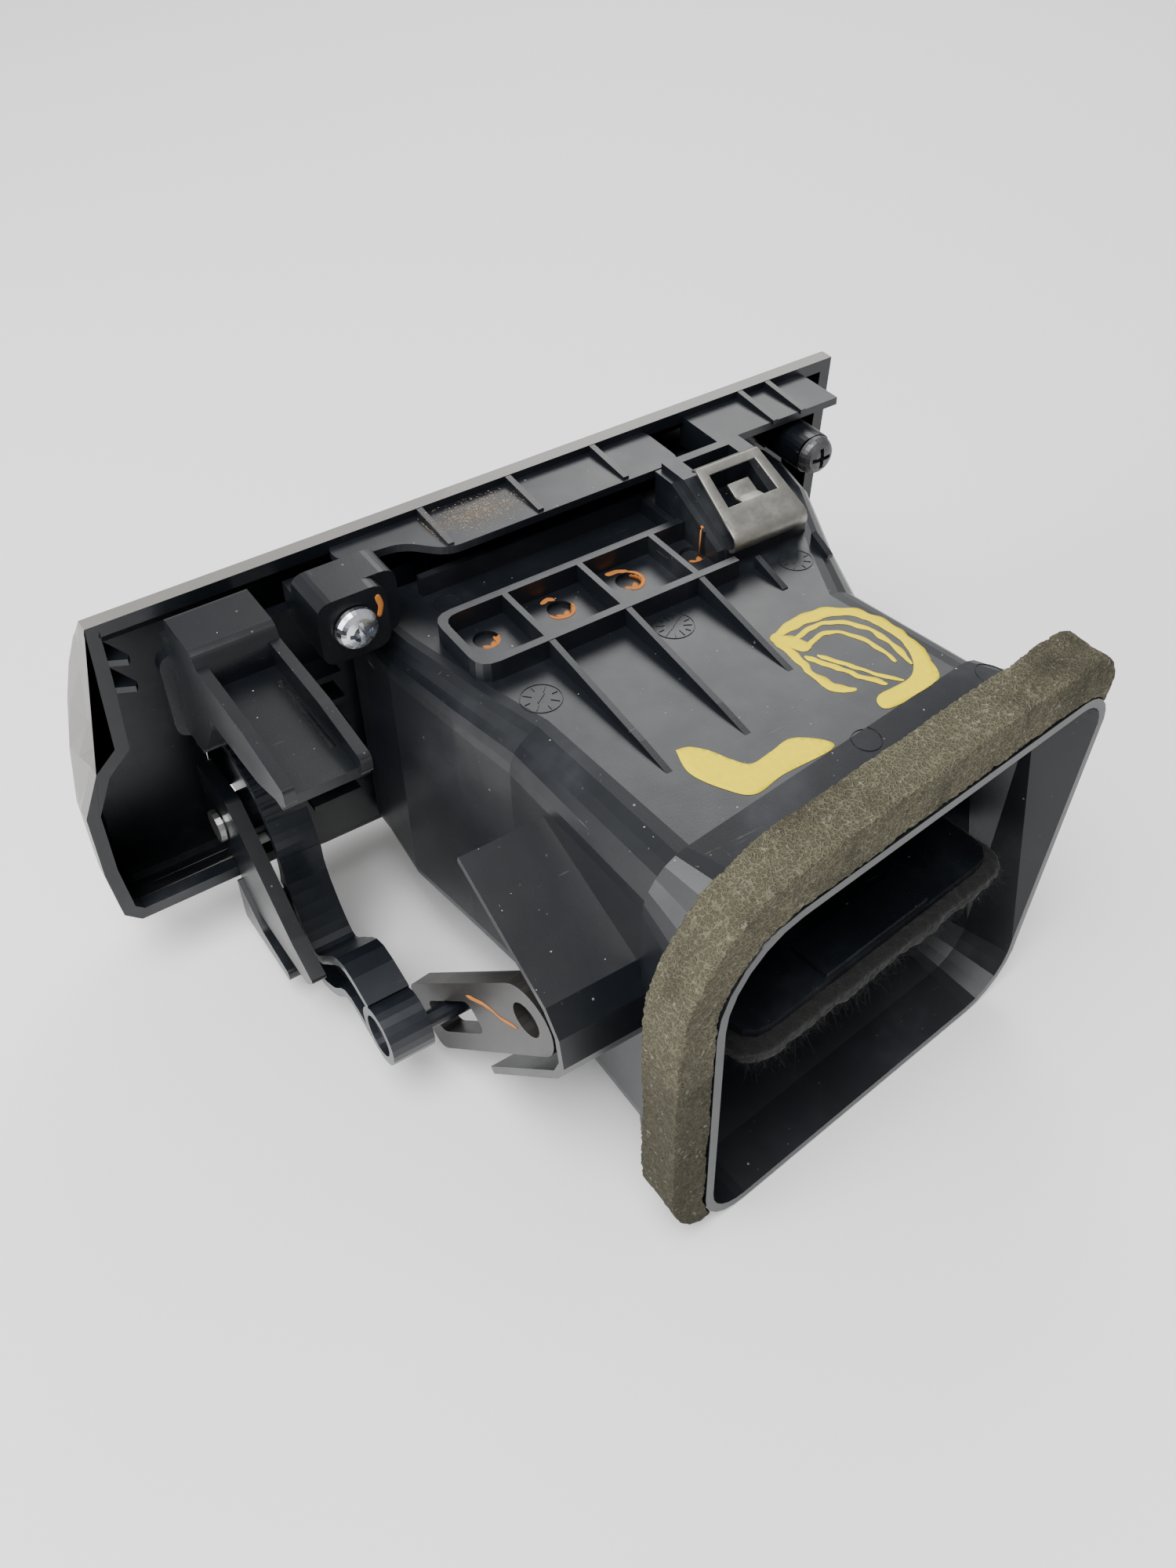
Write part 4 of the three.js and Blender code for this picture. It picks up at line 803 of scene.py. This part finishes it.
class VENT_OT_marks(VentOperator):
    """Draw the paint pen strokes and the inspection dabs"""

    bl_idname = "vent.marks"
    bl_label = "Draw paint marks"

    def execute(self, context):
        s = self.settings
        self.tree = tree_of("duct_housing", "grille_housing", "front_bezel")
        self.crank = tree_of("damper_crank")
        pen = pen_paint("pen_paint", list(s.mark_colour), 1.0)
        dab = pen_paint("inspection_paint", list(s.dab_colour), 0.45)
        self.pen_marks(pen)
        self.dabs(dab)
        return {"FINISHED"}

    def stroke(self, verts, faces, points, width, ragged, along=DOWN, tree=None, rise=FILM):
        """A ribbon of paint laid on the surface below a line of points."""
        tree = tree or self.tree
        curve = self.smooth_line(points)
        previous = None
        for i, point in enumerate(curve):
            ahead = curve[min(i + 1, len(curve) - 1)] - curve[max(i - 1, 0)]
            side = ahead.cross(along)
            if side.length < 1e-9:
                continue
            side.normalize()
            share = i / max(len(curve) - 1, 1)
            taper = min(1.0, share * 6 + 0.35, (1 - share) * 6 + 0.35)
            row = []
            for k in (-1.0, -0.55, 0.0, 0.55, 1.0):
                rough = 1 + noise.noise(Vector((i * 0.22, k * 3, width * 900))) * ragged * 2 * abs(k)
                spot = point + side * (k * width / 2 * taper * rough)
                hit = tree.ray_cast(spot - along * 0.02, along, 0.06)[0]
                if hit is None:
                    row = None
                    break
                lift = rise * (1 - 0.75 * abs(k))
                row.append(hit - along * lift)
            if row is None:
                previous = None
                continue
            start = len(verts)
            verts += row
            if previous is not None:
                jump = max((verts[previous + j] - row[j]).length for j in range(5))
                if jump < 0.003:
                    for j in range(4):
                        faces.append((previous + j, previous + j + 1, start + j + 1, start + j))
            previous = start

    def patch(self, verts, faces, outline):
        """A filled area of paint inside a closed outline, laid on the surface below it."""
        ring = [mm(x, y, 76) for x, y in outline]
        loop = [Vector(p[:2]) for p in self.smooth_line(ring + ring[:1])[:-1]]
        low = [min(p[k] for p in loop) for k in range(2)]
        high = [max(p[k] for p in loop) for k in range(2)]
        inner = []
        step = 0.001
        for i in range(1, int((high[0] - low[0]) / step)):
            for j in range(1, int((high[1] - low[1]) / step)):
                inner.append(Vector((low[0] + i * step, low[1] + j * step)))
        edges = [(i, (i + 1) % len(loop)) for i in range(len(loop))]
        flat, _, cells = delaunay_2d_cdt(loop + inner, edges, [], 1, 1e-7)[:3]
        start = len(verts)
        for p in flat:
            hit = self.tree.ray_cast(Vector((p.x, p.y, 0.09)), DOWN, 0.03)[0]
            verts.append((hit or Vector((p.x, p.y, DUCT_TOP))) - DOWN * FILM)
        faces += [[start + i for i in cell] for cell in cells]

    def smooth_line(self, points, step=0.0005):
        """A smooth line through the points, sampled evenly."""
        out = []
        for i in range(len(points) - 1):
            p0 = points[max(i - 1, 0)]
            p1, p2 = points[i], points[i + 1]
            p3 = points[min(i + 2, len(points) - 1)]
            count = max(2, int((p2 - p1).length / step))
            for k in range(count):
                t = k / count
                a = 2 * p1
                b = (p2 - p0) * t
                c = (2 * p0 - 5 * p1 + 4 * p2 - p3) * (t * t)
                d = (3 * p1 - p0 - 3 * p2 + p3) * (t * t * t)
                out.append((a + b + c + d) * 0.5)
        out.append(points[-1])
        return out

    def pen_marks(self, material):
        verts, faces = [], []

        def line(points, width, ragged=0.25):
            self.stroke(verts, faces, [mm(x, y, 76) for x, y in points], width * MM, ragged)

        self.patch(verts, faces, OVAL_BLOB)
        self.patch(verts, faces, TICK)
        # a hatched oval
        outer = [(-27.5, 14), (-33, 13), (-40, 13.6), (-44.5, 17.5), (-46.3, 24), (-45.6, 31), (-43.5, 37)]
        line(outer, 2.6)
        line([(-28.5, 17), (-34, 15.6), (-39, 16.5), (-42.6, 21), (-43.4, 27), (-42.6, 33)], 1.1, 0.4)
        line([(-30, 19.5), (-35, 18), (-38.5, 20), (-40.6, 25), (-40.8, 31)], 0.9, 0.5)
        line([(-27.2, 14.5), (-27.4, 20), (-26.6, 26), (-28, 31), (-30.4, 32.6)], 1.8, 0.4)
        line([(-28.6, 21), (-31, 26), (-33.4, 31), (-35.6, 34.6)], 1.2, 0.5)
        line([(-30.6, 22), (-33.6, 27.6), (-36.4, 32.6), (-38.6, 35.4)], 0.8, 0.5)
        line([(-27, 13.5), (-29.6, 17.5), (-30.6, 20)], 3.0, 0.3)
        piece = new_piece("paint_pen_marks", verts, faces, material, "vent_body")
        self.thicken(piece)

    def dabs(self, material):
        verts, faces = [], []

        def top(points, width):
            lifted = [mm(x, y, z) for x, y, z in points]
            self.stroke(verts, faces, lifted, width * MM, 0.5, rise=0.00006)

        for x, y, turn, reach in (
            (14.7, -14.5, 0.6, 2.2),
            (-0.8, -14.6, 0.2, 2.6),
            (-15.8, -14.6, 1.2, 2.8),
            (-30.4, -14.5, 0.4, 2.0),
        ):
            ring = []
            for i in range(7):
                angle = turn + i * 0.5
                ring.append((x + reach * math.cos(angle), y + reach * math.sin(angle), 76))
            top(ring, 0.7)
            top([(x + 1, y + 0.4, 76), (x - 0.4, y + 1.6, 76), (x - 1.3, y + 0.2, 76)], 0.9)
        top([(1.4, -17.6, 76), (-0.4, -18.2, 76), (-1.4, -17.2, 76)], 0.8)
        top([(-13.2, -18.4, 76), (-15.8, -18.0, 76), (-17.4, -17.0, 76)], 0.9)
        top([(5.6, -15.6, 76), (5.0, -17.6, 76), (5.4, -18.6, 76)], 0.5)
        top([(-10.2, -12, 76), (-9.8, -14.5, 76), (-11.2, -16, 76)], 0.5)
        # beside the near screw, on the boss
        back = Vector((0, -1, 0))
        rear = [mm(31.2, -21.5, 88.6), mm(30.8, -21.5, 86), mm(31.4, -21.5, 84)]
        self.stroke(verts, faces, rear, 0.8 * MM, 0.5, back)
        # across the crank
        out = -SHAFT_AXIS
        line = [mm(42.3, 19.3, 30.1), mm(41.4, 25.4, 33.0), mm(40.9, 29.7, 33.8), mm(40.2, 34.1, 35.6)]
        self.stroke(verts, faces, line, 0.7 * MM, 0.5, out, self.crank)
        piece = new_piece("inspection_dabs", verts, faces, material, "vent_body")
        self.thicken(piece)

    def thicken(self, piece):
        thick = piece.modifiers.new("film", "SOLIDIFY")
        thick.thickness = 0.00005
        thick.offset = -1


class VENT_OT_moulding(VentOperator):
    """Raise the mould's date rings and ejector marks"""

    bl_idname = "vent.moulding"
    bl_label = "Add moulding marks"

    def execute(self, context):
        self.tree = tree_of("duct_housing")
        verts, faces = [], []
        rings = [
            (15.2, 4.6, 3.7, 4),
            (-14.9, 1.2, 3.7, 6),
            (-45.2, -1.9, 3.2, 4),
            (15, -27.4, 2.7, 0),
            (-52.5, 42, 2.7, 0),
            (-23.4, 43.2, 2.6, 0),
            (0, 53.2, 2.7, 0),
        ]
        for x, y, radius, ticks in rings:
            self.ring(verts, faces, x, y, radius, 0.22)
            if ticks:
                self.dial(verts, faces, x, y, radius, ticks)
        material = bpy.data.materials.get("duct_plastic") or moulded_plastic(
            "ring_plastic", list(self.settings.plastic_colour), self.settings.plastic_roughness
        )
        new_piece("moulding_marks", verts, faces, material, "vent_body", smooth=False)
        return {"FINISHED"}

    def on_surface(self, x, y, lift):
        hit = self.tree.ray_cast(mm(x, y, 90), DOWN, 0.03)[0]
        z = hit.z if hit is not None and abs(hit.z - DUCT_TOP) < 0.0025 else DUCT_TOP
        return Vector((x * MM, y * MM, z + lift))

    def wall(self, verts, faces, points, width, closed):
        """A low ridge along a flat line."""
        rows = []
        count = len(points)
        for i, (x, y) in enumerate(points):
            before = points[i - 1] if closed or i else points[i]
            after = points[(i + 1) % count] if closed or i + 1 < count else points[i]
            dx, dy = after[0] - before[0], after[1] - before[1]
            length = math.hypot(dx, dy) or 1
            nx, ny = -dy / length * width / 2, dx / length * width / 2
            start = len(verts)
            for k, lift in ((-1.0, -0.00003), (-0.5, 0.00014), (0.5, 0.00014), (1.0, -0.00003)):
                verts.append(self.on_surface(x + nx * k, y + ny * k, lift))
            rows.append(start)
        last = count if closed else count - 1
        for i in range(last):
            a, b = rows[i], rows[(i + 1) % count]
            for k in range(3):
                faces.append((a + k, b + k, b + k + 1, a + k + 1))

    def ring(self, verts, faces, x, y, radius, width):
        steps = 32
        turn = 2 * math.pi / steps
        points = [(x + radius * math.cos(i * turn), y + radius * math.sin(i * turn)) for i in range(steps)]
        self.wall(verts, faces, points, width, True)

    def dial(self, verts, faces, x, y, radius, ticks):
        """A pointer and a ring of short ticks, with no figures."""
        for i in range(ticks * 2):
            angle = math.pi * i / ticks
            inner = radius * (0.45 if i % 2 else 0.6)
            outer = radius * 0.88
            c, s = math.cos(angle), math.sin(angle)
            line = [(x + inner * c, y + inner * s), (x + outer * c, y + outer * s)]
            self.wall(verts, faces, line, 0.18, False)
        line = [(x - radius * 0.3, y - radius * 0.2), (x + radius * 0.3, y + radius * 0.2)]
        self.wall(verts, faces, line, 0.22, False)


class VENT_OT_dirt(VentOperator):
    """Scatter dust flakes and crumbs"""

    bl_idname = "vent.dirt"
    bl_label = "Scatter dirt"

    def execute(self, context):
        s = self.settings
        rng = random.Random(s.seed + 11)
        tree = tree_of("duct_housing", "grille_housing", "front_bezel")
        pale = dust_paint("pale_dust", (0.5, 0.5, 0.48))
        brown = dust_paint("brown_dust", (0.30, 0.23, 0.15))
        spots = []
        for _ in range(s.dust_count):
            spots.append((rng.uniform(-70, 60), rng.uniform(-40, 60), rng.uniform(0.05, 0.16)))
        self.flakes("pale_flakes", spots, tree, rng, pale, 98)
        patch = []
        for _ in range(s.dust_count * 12):
            x = rng.gauss(3, 5.5)
            patch.append((max(-8, min(13, x)), rng.gauss(-36.5, 2.4), rng.uniform(0.04, 0.15)))
        self.flakes("shelf_dust", patch, tree, rng, brown, 90)
        return {"FINISHED"}

    def flakes(self, name, spots, tree, rng, material, height):
        verts, faces = [], []
        for x, y, size in spots:
            hit, normal = tree.ray_cast(mm(x, y, height), DOWN, 0.1)[:2]
            if hit is None or normal.z < 0.3:
                continue
            self.crumb(verts, faces, hit + normal * (size * 0.25 * MM), size * MM, rng)
        new_piece(name, verts, faces, material, "vent_body", smooth=False)

    def crumb(self, verts, faces, centre, size, rng):
        """A small uneven octahedron."""
        start = len(verts)
        for axis in range(3):
            for sign in (-1, 1):
                offset = Vector((0, 0, 0))
                flat = 0.45 if axis == 2 else rng.uniform(0.6, 1.5)
                offset[axis] = sign * size * flat
                verts.append(centre + offset)
        upper = [(0, 2, 4), (2, 1, 4), (1, 3, 4), (3, 0, 4)]
        lower = [(2, 0, 5), (1, 2, 5), (3, 1, 5), (0, 3, 5)]
        for a, b, c in upper + lower:
            faces.append((start + a, start + b, start + c))


CAMERA_PLACE = mm(110.46, 169.29, 239.44)
CAMERA_TURN = (45.95, 1.056, 146.66)  # degrees about X, Y and Z
CAMERA_LENS = 33.96  # millimetres, on a 36 mm sensor


class VENT_OT_stage(VentOperator):
    """Set the floor, the lights and the camera"""

    bl_idname = "vent.stage"
    bl_label = "Set stage"

    def execute(self, context):
        s = self.settings
        scene = bpy.context.scene
        g = Graph("floor_paint")
        colour = list(s.floor_colour)
        soft = g.noise(3.0, 2.0)
        g.set(
            Base_Color=g.mix(soft.ramp(0.3, 0.7), [c * 0.99 for c in colour], colour),
            Roughness=0.8 + soft * 0.05,
            Specular_IOR_Level=0.1,
        )
        size = 6.0
        low = -0.0004
        corners = [(-size, -size, low), (size, -size, low), (size, size, low), (-size, size, low)]
        floor = new_piece("floor", corners, [(0, 1, 2, 3)], g.material, None)
        self.light("key", (0.35, 0.25, 1.0), (0, 0, 0.03), 0.7, s.light_power)
        self.light("side", (0.9, -0.1, 0.45), (0, 0, 0.03), 0.5, s.light_power * 0.4)
        self.light("rear", (-0.5, -0.6, 0.7), (0, 0, 0.03), 0.5, s.light_power * 0.25)
        world = bpy.data.worlds.new("studio")
        world.use_nodes = True
        background = world.node_tree.nodes["Background"]
        background.inputs["Color"].default_value = (1, 1, 1, 1)
        background.inputs["Strength"].default_value = 0.62
        scene.world = world
        camera = bpy.data.objects.new("camera", bpy.data.cameras.new("camera"))
        scene.collection.objects.link(camera)
        camera.data.lens = CAMERA_LENS
        camera.data.sensor_width = 36
        camera.data.clip_start = 0.01
        camera.location = CAMERA_PLACE
        camera.rotation_euler = Euler([math.radians(a) for a in CAMERA_TURN])
        scene.camera = camera
        return {"FINISHED"}

    def light(self, name, place, target, size, power):
        lamp = bpy.data.lights.new(name, "AREA")
        lamp.shape = "DISK"
        lamp.size = size
        lamp.energy = power
        piece = bpy.data.objects.new(name, lamp)
        bpy.context.scene.collection.objects.link(piece)
        piece.location = place
        piece.rotation_euler = (Vector(target) - Vector(place)).to_track_quat("-Z", "Y").to_euler()


class VENT_PT_panel(bpy.types.Panel):
    """Settings and steps of the air vent's looks"""

    bl_label = "Air Vent"
    bl_idname = "VENT_PT_panel"
    bl_space_type = "VIEW_3D"
    bl_region_type = "UI"
    bl_category = "Air Vent"

    def draw(self, context):
        settings = context.scene.vent_settings
        for key in VentSettings.__annotations__:
            self.layout.prop(settings, key)
        for step in STEPS:
            self.layout.operator(step.bl_idname)


STEPS = (
    VENT_OT_plastics,
    VENT_OT_bezel,
    VENT_OT_fasteners,
    VENT_OT_foam,
    VENT_OT_felt,
    VENT_OT_marks,
    VENT_OT_moulding,
    VENT_OT_dirt,
    VENT_OT_stage,
)
CLASSES = (VentSettings, *STEPS, VENT_PT_panel)


def register():
    for made in CLASSES:
        bpy.utils.register_class(made)
    bpy.types.Scene.vent_settings = PointerProperty(type=VentSettings)


def unregister():
    del bpy.types.Scene.vent_settings
    for made in reversed(CLASSES):
        bpy.utils.unregister_class(made)


def main():
    register()
    bpy.ops.vent.plastics()
    bpy.ops.vent.bezel()
    bpy.ops.vent.fasteners()
    bpy.ops.vent.foam()
    bpy.ops.vent.felt()
    bpy.ops.vent.marks()
    bpy.ops.vent.moulding()
    bpy.ops.vent.dirt()
    bpy.ops.vent.stage()


if __name__ == "__main__":
    main()
